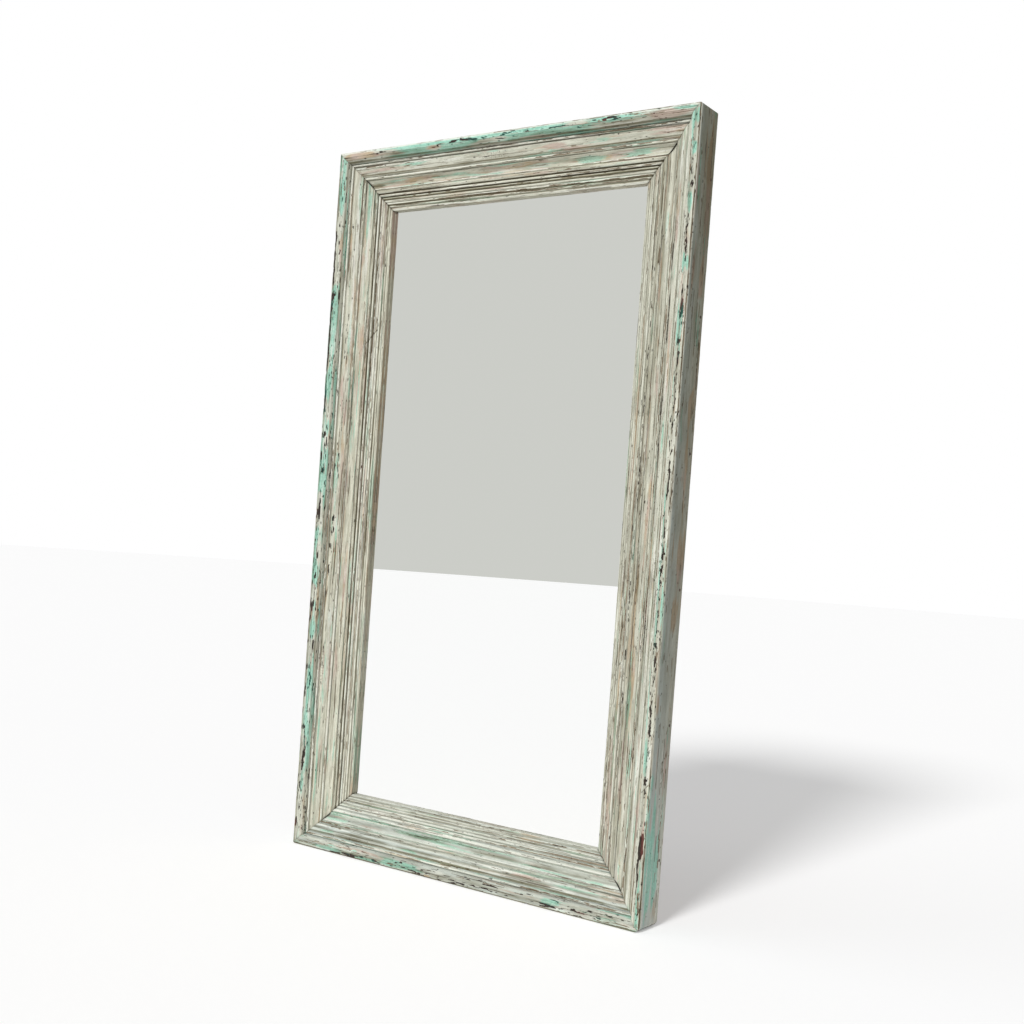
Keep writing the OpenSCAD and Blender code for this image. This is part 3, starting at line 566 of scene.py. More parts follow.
# %% Landmarks
LANDMARKS = {
    ("outer_board_left", "mint"): [
        (300, 10, 60, 12, 0.45), (420, 18, 50, 8, 0.4), (570, 16, 26, 10, 0.9), (715, 12, 44, 14, 0.6),
        (810, 10, 34, 14, 0.9), (945, 10, 26, 16, 0.8), (1000, 12, 34, 14, 0.7), (1090, 10, 26, 18, 1.0),
        (1205, 12, 34, 16, 0.7), (1340, 16, 110, 14, 0.5), (1430, 11, 36, 9, 0.45), (1700, 16, 52, 13, 0.6),
        (1775, 6, 18, 12, 0.7), (220, 18, 90, 9, 0.4), (90, 12, 42, 16, -0.7), (515, 9, 24, 10, -0.7),
        (660, 10, 18, 16, -0.9), (1550, 14, 76, 12, -0.5)],
    ("outer_board_left", "warm"): [
        (75, 23, 62, 5, 0.9), (1560, 16, 70, 10, 0.3), (55, 6, 16, 7, 0.8), (405, 4, 16, 8, 0.6),
        (612, 8, 32, 9, 0.6), (868, 5, 24, 7, 0.6), (1565, 3, 40, 4, 0.6), (1765, 16, 22, 9, 0.8)],
    ("outer_board_left", "pale"): [(70, 8, 60, 8, 0.3)],
    ("outer_board_left", "chips"): [
        (55, 6, 10, 5, 0.34), (158, 13, 24, 3, 0.34), (165, 3, 30, 3, 0.22), (205, 14, 20, 3.5, 0.32),
        (250, 16, 32, 3.5, 0.34), (290, 2, 40, 2.5, 0.26), (308, 11, 6, 5, 0.4), (350, 6, 10, 5, 0.32),
        (408, 5, 14, 7, 0.42), (430, 18, 22, 4, 0.28), (465, 9, 8, 6, 0.36), (545, 16, 6, 4, 0.36),
        (597, 7, 10, 6, 0.44), (626, 10, 13, 6, 0.44), (715, 6, 36, 2.6, 0.3), (758, 18, 14, 4, 0.38),
        (702, 14, 10, 3, 0.28), (825, 10, 8, 4, 0.3), (866, 6, 22, 6, 0.4), (885, 13, 40, 2.4, 0.32),
        (975, 12, 12, 4, 0.3), (1018, 7, 14, 3.5, 0.32), (1035, 19, 32, 3.2, 0.4), (1072, 9, 9, 8, 0.4),
        (1155, 4, 40, 4.2, 0.5), (1300, 4.5, 85, 3.8, 0.46), (1400, 5.5, 40, 4.4, 0.46), (1432, 11, 9, 8, 0.46),
        (1500, 5, 60, 4.0, 0.46), (1575, 4, 32, 4.2, 0.46)],
    ("outer_board_right", "mint"): [
        (125, -34, 84, 30, 1.35), (260, -20, 120, 18, 1.0), (332, -6, 24, 9, 0.7), (1300, -22, 90, 16, 0.35),
        (1610, -16, 42, 10, 0.5), (1690, -26, 50, 10, 0.35), (196, 12, 40, 8, -0.8), (1458, 10, 22, 10, 1.1),
        (1588, 11, 24, 7, 1.1), (1704, 9, 16, 7, 1.0), (1772, 8, 24, 12, 1.0), (58, 10, 24, 8, 0.4),
        (375, 14, 50, 10, 1.0), (262, 10, 34, 8, -0.5), (120, 12, 30, 5, -0.6), (700, 4, 60, 4, 0.4)],
    ("outer_board_right", "warm"): [
        (1620, -58, 120, 15, 1.1), (1425, -58, 34, 14, 0.7), (1150, -54, 40, 18, 0.8), (1020, -52, 60, 12, 0.6),
        (820, -58, 50, 14, 0.7), (690, -54, 40, 20, 0.6), (500, -12, 30, 10, 0.6), (40, -45, 34, 36, 0.3),
        (196, 9, 36, 6, 1.0), (1360, 11, 22, 5, 0.8), (1515, 12, 30, 8, 0.4)],
    ("outer_board_right", "grime_and_shade"): [(1630, -62, 130, 18, 0.22)],
    ("outer_board_right", "chips"): [
        (900, 13, 850, 5, 0.1), (110, 15, 24, 2.4, 0.28), (296, 12, 22, 2.2, 0.28), (333, 13, 12, 4, 0.32),
        (385, 11, 24, 2, 0.2), (450, 10.5, 24, 3.6, 0.34), (485, 12, 18, 2.6, 0.24), (575, 10, 28, 4, 0.22),
        (628, 12, 8, 4, 0.32), (675, 13, 24, 2.4, 0.3), (755, 15, 26, 2.4, 0.24), (788, 13, 13, 4.4, 0.34),
        (828, 12, 14, 3, 0.24), (868, 14, 22, 3, 0.26), (912, 15, 14, 3, 0.28), (965, 11, 34, 3.4, 0.32),
        (1022, 12, 18, 2.4, 0.24), (1050, 8, 4, 5, 0.28), (1104, 12, 15, 3, 0.32), (1170, 12, 30, 2.2, 0.26),
        (1250, 12, 22, 2.6, 0.28), (1284, 14, 9, 4, 0.32), (1326, 8, 5, 5, 0.28), (1358, 12, 24, 5, 0.36),
        (1396, 13, 16, 2.4, 0.28), (1490, 12, 22, 2.4, 0.26), (1532, 13, 28, 4, 0.32), (1626, 9, 8, 4.4, 0.28),
        (1655, 12, 16, 2.6, 0.22), (1684, 11, 10, 3.4, 0.28), (1726, 14, 12, 3.2, 0.3)],
    ("outer_board_top", "mint"): [
        (600, 7, 380, 10, 0.62), (400, 9, 80, 11, 0.7), (520, 1, 470, 3, 0.4), (1000, 6, 30, 8, 0.6),
        (520, 21, 380, 6, 0.2), (56, 12, 52, 14, -0.9), (960, 18, 60, 5, -0.6), (310, 18, 24, 6, -0.8),
        (620, 8, 60, 8, 0.4)],
    ("outer_board_top", "warm"): [
        (60, 12, 56, 12, 1.3), (310, 18, 24, 5, 0.9), (508, 9, 36, 6, 0.7), (820, 11, 34, 6, 0.7),
        (960, 17, 60, 6, 0.9)],
    ("outer_board_top", "pale"): [(930, 6, 80, 6, 0.35)],
    ("outer_board_top", "chips"): [
        (312, 16, 16, 4, 0.22), (366, 10, 12, 6, 0.38), (428, 12, 42, 6, 0.27), (508, 9, 34, 5, 0.22),
        (560, 8, 40, 4, 0.14), (660, 12, 44, 2.6, 0.22), (820, 10, 34, 5, 0.26), (140, 10, 40, 3, 0.16)],
    ("outer_board_bottom", "mint"): [
        (135, 17, 12, 4, 1.2), (212, 18, 10, 4, 1.2), (360, 14, 54, 8, 1.2), (500, 18, 45, 8, -0.9),
        (640, 9, 60, 6, 0.3), (805, 18, 26, 5, 1.2), (960, 8, 34, 7, 0.9), (900, 8, 40, 5, -0.4)],
    ("outer_board_bottom", "warm"): [
        (450, 5, 14, 4, 0.8), (260, 22, 190, 5, 0.45), (640, 20, 120, 5, 0.25), (890, 13, 20, 5, 0.9)],
    ("outer_board_bottom", "chips"): [
        (520, 8, 400, 4.5, 0.07), (200, 6.5, 27, 4.2, 0.48), (240, 9, 5, 3, 0.28), (279, 9, 7, 3.4, 0.36),
        (350, 6, 44, 2.2, 0.16), (432, 5, 26, 3.4, 0.26), (431, 13, 5, 3, 0.3), (486, 5, 8, 3.2, 0.3),
        (486, 12, 5, 3, 0.3), (540, 9, 24, 3.4, 0.22), (615, 10, 30, 2.8, 0.22), (620, 21, 62, 2, 0.18),
        (795, 10, 27, 4, 0.36), (880, 14, 22, 3.4, 0.28), (925, 14, 30, 2.4, 0.24)],
    ("frieze_left", "mint"): [(262, 45, 98, 4, 0.6)],
    ("frieze_left", "chips"): [
        (820, 45, 66, 5, 0.2), (1010, 50, 60, 3, 0.2), (1330, 47, 70, 3, 0.2), (460, 43, 60, 6, 0.16),
        (665, 42, 11, 3, 0.28), (725, 42, 18, 3, 0.28)],
    ("frieze_right", "chips"): [
        (900, 57.5, 780, 2.6, 0.2), (680, 58, 90, 3, 0.26), (1110, 58, 130, 3, 0.32), (1340, 58, 60, 3, 0.34),
        (1480, 58, 40, 3, 0.3)],
    ("frieze_right", "warm"): [(340, 52, 60, 8, 0.4), (660, 50, 60, 8, 0.4)],
    ("frieze_top", "warm"): [(660, 48, 44, 9, 0.6), (825, 48, 48, 9, 0.6)],
    ("frieze_bottom", "mint"): [(98, 46, 36, 8, 0.8), (375, 45, 28, 7, 0.5)],
    ("cove_left", "chips"): [(320, 105, 34, 3, 0.24), (660, 97, 10, 4, 0.26), (1070, 97, 12, 4, 0.28)],
    ("cove_left", "mint"): [(1200, 78, 420, 7, 0.22)],
    ("cove_left", "warm"): [(1000, 66, 700, 4, 0.25)],
    ("cove_right", "chips"): [(900, 108, 800, 2.4, 0.17), (900, 79, 760, 3, 0.12)],
    ("cove_right", "warm"): [
        (900, 92, 820, 2.6, 0.45), (1430, 91, 60, 4, 0.8), (340, 95, 70, 8, 0.5), (660, 98, 60, 7, 0.4)],
    # The top cove's outer half faces down and is darkened here: painted shade.
    ("cove_top", "grime_and_shade"): [(520, 78, 520, 7, 0.3), (100, 84, 24, 6, 0.5)],
    ("cove_top", "mint"): [(745, 80, 40, 8, 0.6), (878, 80, 34, 8, 0.7)],
    ("cove_top", "warm"): [(400, 93, 300, 4, 0.35), (860, 93, 90, 3, 0.5)],
    ("cove_bottom", "mint"): [(410, 84, 130, 8, 0.6), (240, 98, 60, 5, 0.35)],
    ("reeded_slip_left", "mint"): [(360, 142, 90, 5, 0.5), (940, 142, 90, 5, 0.4), (250, 152, 220, 8, 0.4)],
    ("reeded_slip_left", "warm"): [(1575, 153, 80, 7, 1.0), (1000, 154, 420, 6, 0.45)],
    ("reeded_slip_right", "warm"): [(420, 122, 300, 3, 0.5), (1100, 130, 200, 5, 0.25)],
    ("reeded_slip_top", "mint"): [(700, 140, 240, 5, 0.4), (860, 118, 70, 4, 0.5)],
    ("reeded_slip_bottom", "mint"): [(250, 130, 90, 9, 0.35)]}
MARKS = {  # gouges: along, inward, half length, half width, depth, lean
    "outer_board_right": [
        (188, 13, 34, 8.4, 2.2, 0.05), (146, 17, 28, 2.8, 1.6, 0.08), (100, 16, 24, 1.5, 1.6, 0.03),
        (62, 15, 4, 2.8, 2.0, 0.0)],
    "outer_board_left": [(62, 8, 11, 3.0, 0.7, 0.0), (1180, 3, 30, 1.8, 1.5, 0.0)],
    "outer_board_bottom": [(150, 4, 22, 1.8, 1.6, 0.0), (205, 5, 9, 1.6, 1.2, 0.0)],
    "cove_left": [(1305, 95, 6, 3.2, 0.8, 0.0)]}
SCRATCHES = {  # along and inward of both ends, half width, strength
    "cove_left": [(1306, 96, 1330, 114, 1.2, 1.0), (1302, 96, 1286, 114, 0.9, 0.6)],
    "reeded_slip_left": [(1328, 112, 1347, 128, 1.2, 1.0), (1288, 112, 1270, 129, 0.8, 0.6)],
    "outer_board_right": [(325, 4, 306, 20, 0.9, 0.8)],
}
HATCHES = {  # saw and scraper marks across the grain: from, to, outer, inner, pitch
    "frieze_top": [(300, 346, 40, 58, 5.2), (438, 522, 40, 58, 6.1)],
    "frieze_left": [(415, 512, 38, 50, 7.0)],
}
print(sum(len(v) for v in LANDMARKS.values()), "landmarks,", sum(len(v) for v in MARKS.values()), "gouges")

# %% [markdown]
# ## Cutting the wear into the shape
#
# Everything here takes material away and never adds any, so a member stays inside its true section and never runs
# into its neighbour. From shallow to deep: the waves of hand planing, the raised grain of weathered timber, paint
# that has flaked off, arrises rubbed round, chips broken out along the edges, gouges, and the open mitres. Where two
# outer boards meet, the corner of the whole frame is rounded, and the feet are worn rounder than the top.

# %% Small rules of wear
CORNERS = {"left": (8, 5), "right": (18, 5), "top": (5, 5), "bottom": (8, 18)}  # radii at the start and end of a side


def tone_and_shade_sum(side, u, sign):
    """The bands of one side that darken (sign 1), partly as painted shade, or pale (sign -1), partly as a painted
    highlight: amount * exp(-(distance in half widths)^4).
    """
    return sum(max(0, sign * amount) * np.exp(-(((u - inward) / half) ** 4)) for inward, half, amount in TONE_AND_SHADE_BANDS[side])


def scratch_sum(node, along, u, ragged):
    """Dark lines between two places, 1 within half a width of the straight line between them, and hatching: short
    cuts across the grain at an uneven pitch."""
    total = np.zeros_like(along)
    for a0, u0, a1, u1, half, strength in SCRATCHES.get(node, ()):
        reach = np.array([a1 - a0, u1 - u0])
        share = np.clip(((along - a0) * reach[0] + (u - u0) * reach[1]) / reach.dot(reach), 0, 1)
        off = np.hypot(along - a0 - share * reach[0], u - u0 - share * reach[1]) / (half * (0.6 + 0.8 * ragged))
        total = np.maximum(total, strength * ease(1.6 - off))
    for start, end, outer, inner, pitch in HATCHES.get(node, ()):
        place = (along + 9 * (ragged - 0.5) + 0.12 * (u - outer)) / pitch
        cut = np.exp(-(((place % 1) - 0.5) / 0.17) ** 2) * ease((along - start) / 5) * ease((end - along) / 5)
        total = np.maximum(total, 0.8 * cut * ease((u - outer) / 3) * ease((inner - u) / 3) * ease(2.4 * ragged))
    return total


def rounded_corner(side, along, length):
    """How far the frame's rounded outer corners reach in from the outer edge: r - sqrt(r^2 - (r - s)^2) at the
    distance s from the end, and no further than the mitre, which is met at s = 0.293 r."""
    reach = np.zeros_like(along)
    for r, from_end in zip(CORNERS[side], (along, length - along)):
        s = np.clip(from_end, 0.293 * r, r)
        reach = np.maximum(reach, r - np.sqrt(r * r - (r - s) ** 2))
    return reach


print("depth of a corner of radius 18:", rounded_corner("right", np.array([0.0]), FRAME_H).round(1))

# %% [markdown]
# ## One member at a time
#
# A `Member` is the grid and its noises. `worn_depth` turns them into a depth at each point, and `worn_member` moves
# the points in by that depth and stores, point by point, what the paint has to know.

# %% The grid of a member and its noises
CELLS = {  # each noise: its cells' length along the grain and width across it, in mm, and its sheets
    "thread": (55, 1.5, 4), "plank": (170, 11, 4), "wave": (260, 30, 2), "ragged": (16, 2.6, 4), "slow": (420, 9, 3),
    "dash": (14, 2.0, 3), "crack": (190, 1.9, 2), "patch": (64, 8, 4),
    "mint": (120, 8, 4), "warm": (120, 8, 4), "pale": (120, 8, 4)}


class Member:
    """A section carried into rows along the member and columns round it."""

    def __init__(self, kind_name, side, seed):
        self.node = f"{kind_name}_{side}"
        self.outer, self.inner = kind_name == "outer_board", kind_name in ("cove", "reeded_slip")
        self.points, self.kind = OUTLINES[kind_name]
        self.walked, self.normal, proud, self.forward = measure(self.points)
        self.length = FRAME_H if side in ("left", "right") else FRAME_W
        self.u, self.v = self.points[:, 0][None], self.points[:, 1][None]
        middle = self.length - 2 * self.u.mean()
        self.along = self.u + rows_along(middle, ROW_PITCH)[:, None] * (self.length - 2 * self.u) / middle
        self.t = self.walked[:-1][None] + np.zeros_like(self.along)
        self.shows = self.kind != INSIDE
        self.front = self.shows[None] + np.zeros_like(self.along)
        self.edge, self.low = np.clip(proud / 0.95, 0, 1)[None], np.clip(-proud / 0.75, 0, 1)[None]
        self.on_side = (self.kind == SIDE)[None] * ease((self.v - 3) / 8)
        self.from_start, self.from_end = self.along - self.u, self.length - self.u - self.along
        self.to_mitre = np.minimum(self.from_start, self.from_end) / np.sqrt(2)
        cells = dict(CELLS)
        if self.outer:
            cells["dash"] = (9 if side == "right" else 14, 2.5, 3)
        rng = np.random.default_rng(seed)
        self.noise = {name: grain_noise(rng, self.along, self.t, *cell) for name, cell in cells.items()}

    def above(self, field, share):
        """How far a field lies above the level that this share of the visible surface reaches."""
        return field - np.quantile(field[:, self.shows], 1 - share)

    def mask(self, field, share, soft):
        return ease(self.above(field, share) / soft + 0.5) * self.front

    def landmarks(self, sort):
        """The landmarks of one sort: strength * exp(-(distance in half lengths and half widths)^3)."""
        inward_of = np.where(self.kind == SIDE, -self.v, np.where(
            self.kind == LIP, self.u + self.v - LIP_V, self.u))
        total = np.zeros_like(self.along)
        for at, inward, half_long, half_wide, strength in LANDMARKS.get((self.node, sort), ()):
            off = ((self.along - at) / half_long) ** 2 + ((inward_of - inward) / half_wide) ** 2
            total += strength * np.exp(-off**1.5)
        return total

    def tint(self, sort, share):
        """0.5 where a streak starts, so that it covers its share of the member, plus this sort's landmarks."""
        field = 0.7 * self.noise[sort] + 0.3 * self.noise["plank"]
        return 0.5 + 3.2 * self.above(field, share) + self.landmarks(sort)


print("noises:", ", ".join(CELLS))

# %% How deep the wear goes
WAVE_CUT, THREAD_CUT, FLAKE_CUT, ARRIS_CUT, RUB_CUT, CHIP_CUT, CRACK_CUT = 0.3, 0.2, 0.3, 0.2, 0.6, 1.2, 0.45
DEEPEST = 3.2


def worn_depth(m, bare_share, chip_share):
    """The depth in mm taken off along the section's outward normal: the sum of the planing wave, the raised grain,
    flaked paint, rubbed arrises, chips, cracks, gouges and the open mitre. With it go the masks of bare timber,
    chips and cracks."""
    thread, plank, wave, ragged, slow, dash, crack = list(m.noise.values())[:7]
    flake = m.mask(0.5 * thread + 0.35 * plank + 0.25 * ragged + 0.05 * m.edge, bare_share, 0.05)
    rub = m.mask(0.6 * slow + 0.3 * ragged + 0.5 * m.edge, 0.06, 0.10) * m.edge
    broken = dash + 0.25 * (ragged - 0.5) + 0.05 * m.edge - 0.06 * m.low - 0.08 * m.on_side
    deep = ease((m.above(broken, chip_share) + m.landmarks("chips")) / 0.03 + 0.5) * m.front * (m.kind != BACK)
    lines = np.maximum(m.mask(crack + 0.3 * (thread - 0.5), 0.020 if m.outer else 0.050, 0.03),
                       scratch_sum(m.node, m.along, m.u, ragged))
    depth = (WAVE_CUT * wave + THREAD_CUT * thread + FLAKE_CUT * flake + m.edge * (ARRIS_CUT + RUB_CUT * rub)
             + CHIP_CUT * deep + CRACK_CUT * lines)
    for at, inward, half_long, half_wide, cut, lean in MARKS.get(m.node, ()):
        near = np.argmin(np.where(m.shows, abs(m.u[0] - inward) + 0.2 * m.v[0], 1e9))
        off = np.hypot((m.along - at) / half_long, (m.t - m.t[0, near] - lean * (m.along - at)) / half_wide)
        spot = ease(3.2 * (1.0 - off + 0.9 * (ragged - 0.5)))
        deep, depth = np.maximum(deep, spot), depth + cut * spot
    gap, opened = (1.2, 1.6) if m.inner else (0.8, 0.7)
    joint = np.exp(-m.to_mitre / gap) * (0.55 + 0.9 * slow) * np.where(m.kind[None] == SIDE, 0.8, opened)
    return np.minimum((depth + joint) * m.front, DEEPEST), np.maximum(flake, rub), deep, lines


# %% Wear of one member
def worn_member(kind_name, side, recipe, seed):
    """The piece: its points moved in by the wear, and ten numbers at each of them for its paint."""
    mint_share, warm_share, pale_share, bare_share, chip_share, cool = recipe
    m = Member(kind_name, side, seed)
    depth, bare, deep, lines = worn_depth(m, bare_share, chip_share)
    u_cut, v_cut = m.u - m.normal[:, 0][None] * depth, m.v - m.normal[:, 1][None] * depth
    if m.outer:
        u_cut = np.maximum(u_cut, rounded_corner(side, m.along, m.length))
    along_cut = m.along + (u_cut - m.u) * (np.exp(-m.from_start / 3) - np.exp(-m.from_end / 3))
    piece = tube(m.node + "_timber", placed(side, u_cut, v_cut, along_cut), *m.along.shape,
                 m.forward != (side in ("left", "top")), (m.along / 1000 + seed, m.walked / 1000 + seed * 0.37))

    plank, slow, patch = m.noise["plank"], m.noise["slow"], m.noise["patch"]
    height = m.along / m.length if m.length == FRAME_H else 0.3
    # The outer side is made darker, on the uprights more so higher up, and the lip's narrow side beside the glass is
    # darkened as painted shade.
    side_and_lip_darkening = m.on_side * np.interp(height, (0.05, 0.25, 0.5, 0.95), (0.02, 0.40, 0.57, 0.70))
    side_and_lip_darkening = side_and_lip_darkening + (m.kind == LIP)[None] * (0.16 if side == "left" else 0.1)
    # The darker bands: partly the paint's own tone, partly painted shade in the grooves and under the bottom edge.
    dark = tone_and_shade_sum(side, m.u, 1) * (0.55 + 0.9 * patch) * (m.kind != SIDE) * (m.kind != LIP)
    # Grooves and the joints between the layers are darkened, more on some sides than others: dirt, and painted shade
    # with it. The open mitres get dark joint lines.
    at_joint = sum(share * np.exp(-((m.u - joint_u) / half) ** 2) for share, joint_u, half in (
        (1.0, FRIEZE_U + 0.4, 1.3), (0.3, COVE_U, 1.0), (1.0, SLIP_U + 0.8, 1.4)))
    dirt_and_shade = np.interp(m.u, JOINT_U, JOINT_DIRT_AND_SHADE[side]) * np.maximum(m.low, at_joint) * (0.6 + 0.8 * patch)
    in_mitre = (0.25 + 1.1 * slow if m.inner else 0.30) * np.exp(-m.to_mitre / 1.3)
    for name, values in {
            "mint": m.tint("mint", mint_share) - 0.3 * m.on_side,
            "warm": m.tint("warm", warm_share),
            # The paler bands add to the scuffs: a painted highlight on the crests.
            "pale": m.tint("pale", pale_share) - 0.5 * side_and_lip_darkening + 1.2 * tone_and_shade_sum(side, m.u, -1),
            # Darkening that the paint multiplies in: grime and tone, partly painted shade.
            "grime_and_shade": m.landmarks("grime_and_shade") + dark + side_and_lip_darkening + 0.4 * (patch - 0.42),
            "cool": cool * (0.5 + slow) * (1 - m.on_side) + m.on_side * (0.9 - m.v / 110),
            "bare": bare + 0.9 * (m.kind == BACK)[None],
            # Edges are paler: rubbed paint, and a painted highlight on the crests.
            "deep": deep, "line": lines, "edge_wear_and_highlight": m.edge * m.front * (0.4 + 1.0 * plank),
            "groove_dirt_and_shade": np.clip(dirt_and_shade + in_mitre, 0, 1)}.items():
        give(piece, name, values)
    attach(piece, BODY)
    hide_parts(m.node)
    return piece


members, seed = {}, 3
for kind_name, recipes in RECIPES.items():
    for side, recipe in zip(SIDES, recipes):
        members[kind_name, side] = worn_member(kind_name, side, recipe, seed)
        seed += 1
faces = [len(piece.data.loops) - 2 * len(piece.data.polygons) for piece in members.values()]
print("triangles:", sum(faces), "in all, most", max(faces))

# %% [markdown]
# ## Old paint
#
# The finish is built the way it was put on: timber, a coat of mint green, a coat of cream. Time has then stained it
# in streaks of tan and pink, scuffed it pale and filled its grooves with dirt. Each of these has its own mask, which
# starts from the numbers stored with the mesh, about a millimetre fine, and is broken up with noise that is finer
# still, so that an edge of paint stays crisp from close by. Light is painted in too: paler crests as a painted
# highlight, and darker grooves, chips, bands and the lip's side as painted shade. The outer sides are darker, the
# uprights more so higher up: there the colour is multiplied down, which keeps the streaks in it.

# %% Painted timber
# Several of these also stand in for light: the edge colour is partly a painted highlight, and the groove colour, the
# darkening colour and the chip colour are partly painted shade.
TIMBER, CREAM = (shade(108, 96, 78), shade(168, 156, 136)), (shade(188, 186, 166), shade(229, 228, 210))
STAIN, PIT_AND_SHADE = (shade(194, 170, 136), shade(204, 180, 168)), (shade(34, 31, 28), shade(72, 60, 52))
COOL, SCUFF, EDGE_WEAR_AND_HIGHLIGHT, DUSK = shade(196, 208, 206), shade(240, 241, 231), shade(236, 236, 220), shade(150, 146, 122)
HAIRLINE, CRACK, GRIME_AND_SHADE, GROOVE_DIRT_AND_SHADE = shade(112, 104, 84), shade(98, 86, 66), shade(150, 144, 126), shade(66, 59, 44)
RED_PIT, GREEN_PIT = shade(98, 60, 54), shade(44, 84, 74)


def old_paint(name, mint, mint_deep):
    f = Finish(name)
    grain, place = f.node("UVMap", {"uv_map": "grain"}), f.place()
    thread = f.noise(grain, (36, 850, 1), 5, 0.6)
    hair = f.noise(grain, (55, 2600, 1), 3, 0.6)
    plank = f.noise(grain, (11, 115, 1), 5, 0.6, 0.3)
    streak = f.noise(grain, (16, 260, 1), 4, 0.6)
    speck = f.noise(grain, (190, 700, 1), 4, 0.6)
    cloud = f.noise(place, (9, 9, 9), 4)
    minty, warm, pale, cool, grime_and_shade, bare, deep, cracked, edge_wear_and_highlight, groove_dirt_and_shade = (f.mesh_value(n) for n in (
        "mint", "warm", "pale", "cool", "grime_and_shade", "bare", "deep", "line", "edge_wear_and_highlight", "groove_dirt_and_shade"))

    timber = f.blend(f.step(thread, 0.36, 0.64), *TIMBER)
    coat = f.blend(f.step(plank + thread.sway(0.8), 0.36, 0.62), *CREAM)
    coat = f.blend(cool, coat, COOL)
    stain = f.blend(f.step(cloud + thread.sway(0.4), 0.42, 0.58), *STAIN)
    coat = f.blend(f.step(warm + streak.sway(0.9) + speck.sway(0.4), 0.38, 0.78) * 0.82, coat, stain)
    green = f.blend(f.step(speck + plank.sway(0.7), 0.35, 0.66), mint_deep, mint)
    is_green = f.step(minty + thread.sway(0.9) + speck.sway(0.5), 0.40, 0.70)
    coat = f.blend(is_green * 0.92, coat, green)
    coat = f.blend(f.step(pale + streak.sway(0.8) + speck.sway(0.8), 0.42, 0.80) * 0.7, coat, SCUFF)
    # Edges and crests paler: rubbed paint, and a painted highlight.
    coat = f.blend(edge_wear_and_highlight * 0.34, coat, EDGE_WEAR_AND_HIGHLIGHT)
    coat = f.blend(f.step(streak + cloud.sway(0.5), 0.52, 0.72) * 0.20, coat, DUSK)
    bare = f.step(bare + thread.sway(1.5) + speck.sway(1.0), 0.46, 0.60)
    color = f.blend(bare, coat, timber)
    fine = f.step(hair + thread.sway(0.5), 0.55, 0.64) * 0.36
    color = f.blend(fine, color, HAIRLINE)
    cracked = f.step(cracked + speck.sway(0.9) + thread.sway(0.5), 0.40, 0.62)
    color = f.blend(cracked * 0.78, color, CRACK)
    # The colour is multiplied down: real grime and darker outer sides, with painted shade from the darker bands, the
    # lip's side and the top cove.
    grime_and_shade = f.step(grime_and_shade + thread.sway(0.35) + plank.sway(0.35), 0.0, 0.96)
    color = f.blend(grime_and_shade, color, GRIME_AND_SHADE, "MULTIPLY")
    deep = f.step(deep + speck.sway(0.8), 0.40, 0.58)
    reddish = f.step(warm + speck.sway(0.8), 0.5, 0.9)
    # The chips show dark timber and dirt, painted darker still as shade in the pits.
    pit_and_shade = f.blend(f.step(speck, 0.42, 0.6), *PIT_AND_SHADE)
    pit_and_shade = f.blend(reddish, pit_and_shade, RED_PIT)
    pit_and_shade = f.blend(is_green * f.step(cloud, 0.50, 0.56), pit_and_shade, GREEN_PIT)
    color = f.blend(deep, color, pit_and_shade)
    # Dark in the grooves and joints: dirt, with painted shade where shade falls.
    color = f.blend(groove_dirt_and_shade * 0.80, color, GROOVE_DIRT_AND_SHADE)

    height = (1 - bare) * 0.5 + thread * 0.5 + speck * 0.25 - deep * 0.6 - fine * 0.6 - cracked * 0.4
    return f.surface(color=color, rough=bare * 0.2 + 0.58, level=0.35, normal=f.bump(height, 0.55, 0.0009))


PAINTS = {
    "outer_board": old_paint("aged_outer_paint", shade(178, 229, 211), shade(136, 198, 176)),
    "frieze": old_paint("aged_frieze_paint", shade(190, 226, 206), shade(150, 196, 172)),
    "cove": old_paint("aged_cove_paint", shade(190, 226, 206), shade(152, 192, 170)),
    "reeded_slip": old_paint("aged_reed_paint", shade(196, 220, 200), shade(158, 186, 162))}
for (kind_name, side), piece in members.items():
    piece.data.materials.append(PAINTS[kind_name])
print(len(PAINTS), "paints")

# %% [markdown]
# ## The looking glass
#
# A mirror is clear glass with silver behind it and grey paint behind the silver. As one solid it needs three looks:
# the face reflects almost everything, the cut edges are green, and the back is matt grey. The face is told from the
# rest by its depth in the frame.

# %% Mirror
GLASS_Y = (FRONT_Y + GLASS_V) / 1000


def silvered(name):
    f = Finish(name)
    place = f.place()
    depth = f.axis(place, 1)
    back_y = GLASS_Y + GLASS_T / 1000
    face = 1 - f.step(depth, GLASS_Y + 0.0001, GLASS_Y + 0.0003)
    back = f.step(depth, back_y - 0.0003, back_y - 0.0001)
    dust = f.step(f.noise(place, (60, 60, 60), 5, 0.65), 0.58, 0.74)
    edge = f.blend(f.noise(place, (9, 9, 30), 3), shade(96, 132, 118), shade(142, 176, 160))
    paint = f.blend(f.noise(place, (14, 14, 14), 4), shade(108, 110, 112), shade(130, 131, 132))
    rest = f.blend(back, edge, paint)
    color = f.blend(face, rest, f.blend(dust * 0.05, (0.985, 0.99, 0.985, 1), (0.9, 0.9, 0.89, 1)))
    rough = (1 - face) * 0.45 + face * dust * 0.012 + 0.004
    return f.surface(color=color, rough=rough, metal=face)


def dress(node, material):
    """Gives a node of the CAD model its finish."""
    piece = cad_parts[node]
    for place in piece.material_slots:
        place.material = material
    return piece


glass = dress("mirror_glass", silvered("old_looking_glass"))
glass.visible_diffuse = False
print("glass face at y =", GLASS_Y)

# %% [markdown]
# ## The back: pine, beech and board
#
# The subframe is unpainted pine, half lapped and dowelled at the corners. In flat-sawn pine the year rings show as
# bands that run with the board and wander, darker and harder on one side of each. So the finish is a sine of the
# distance across the grain, bent by slow noise, with fine fibres over it. Stiles run upright and rails level.

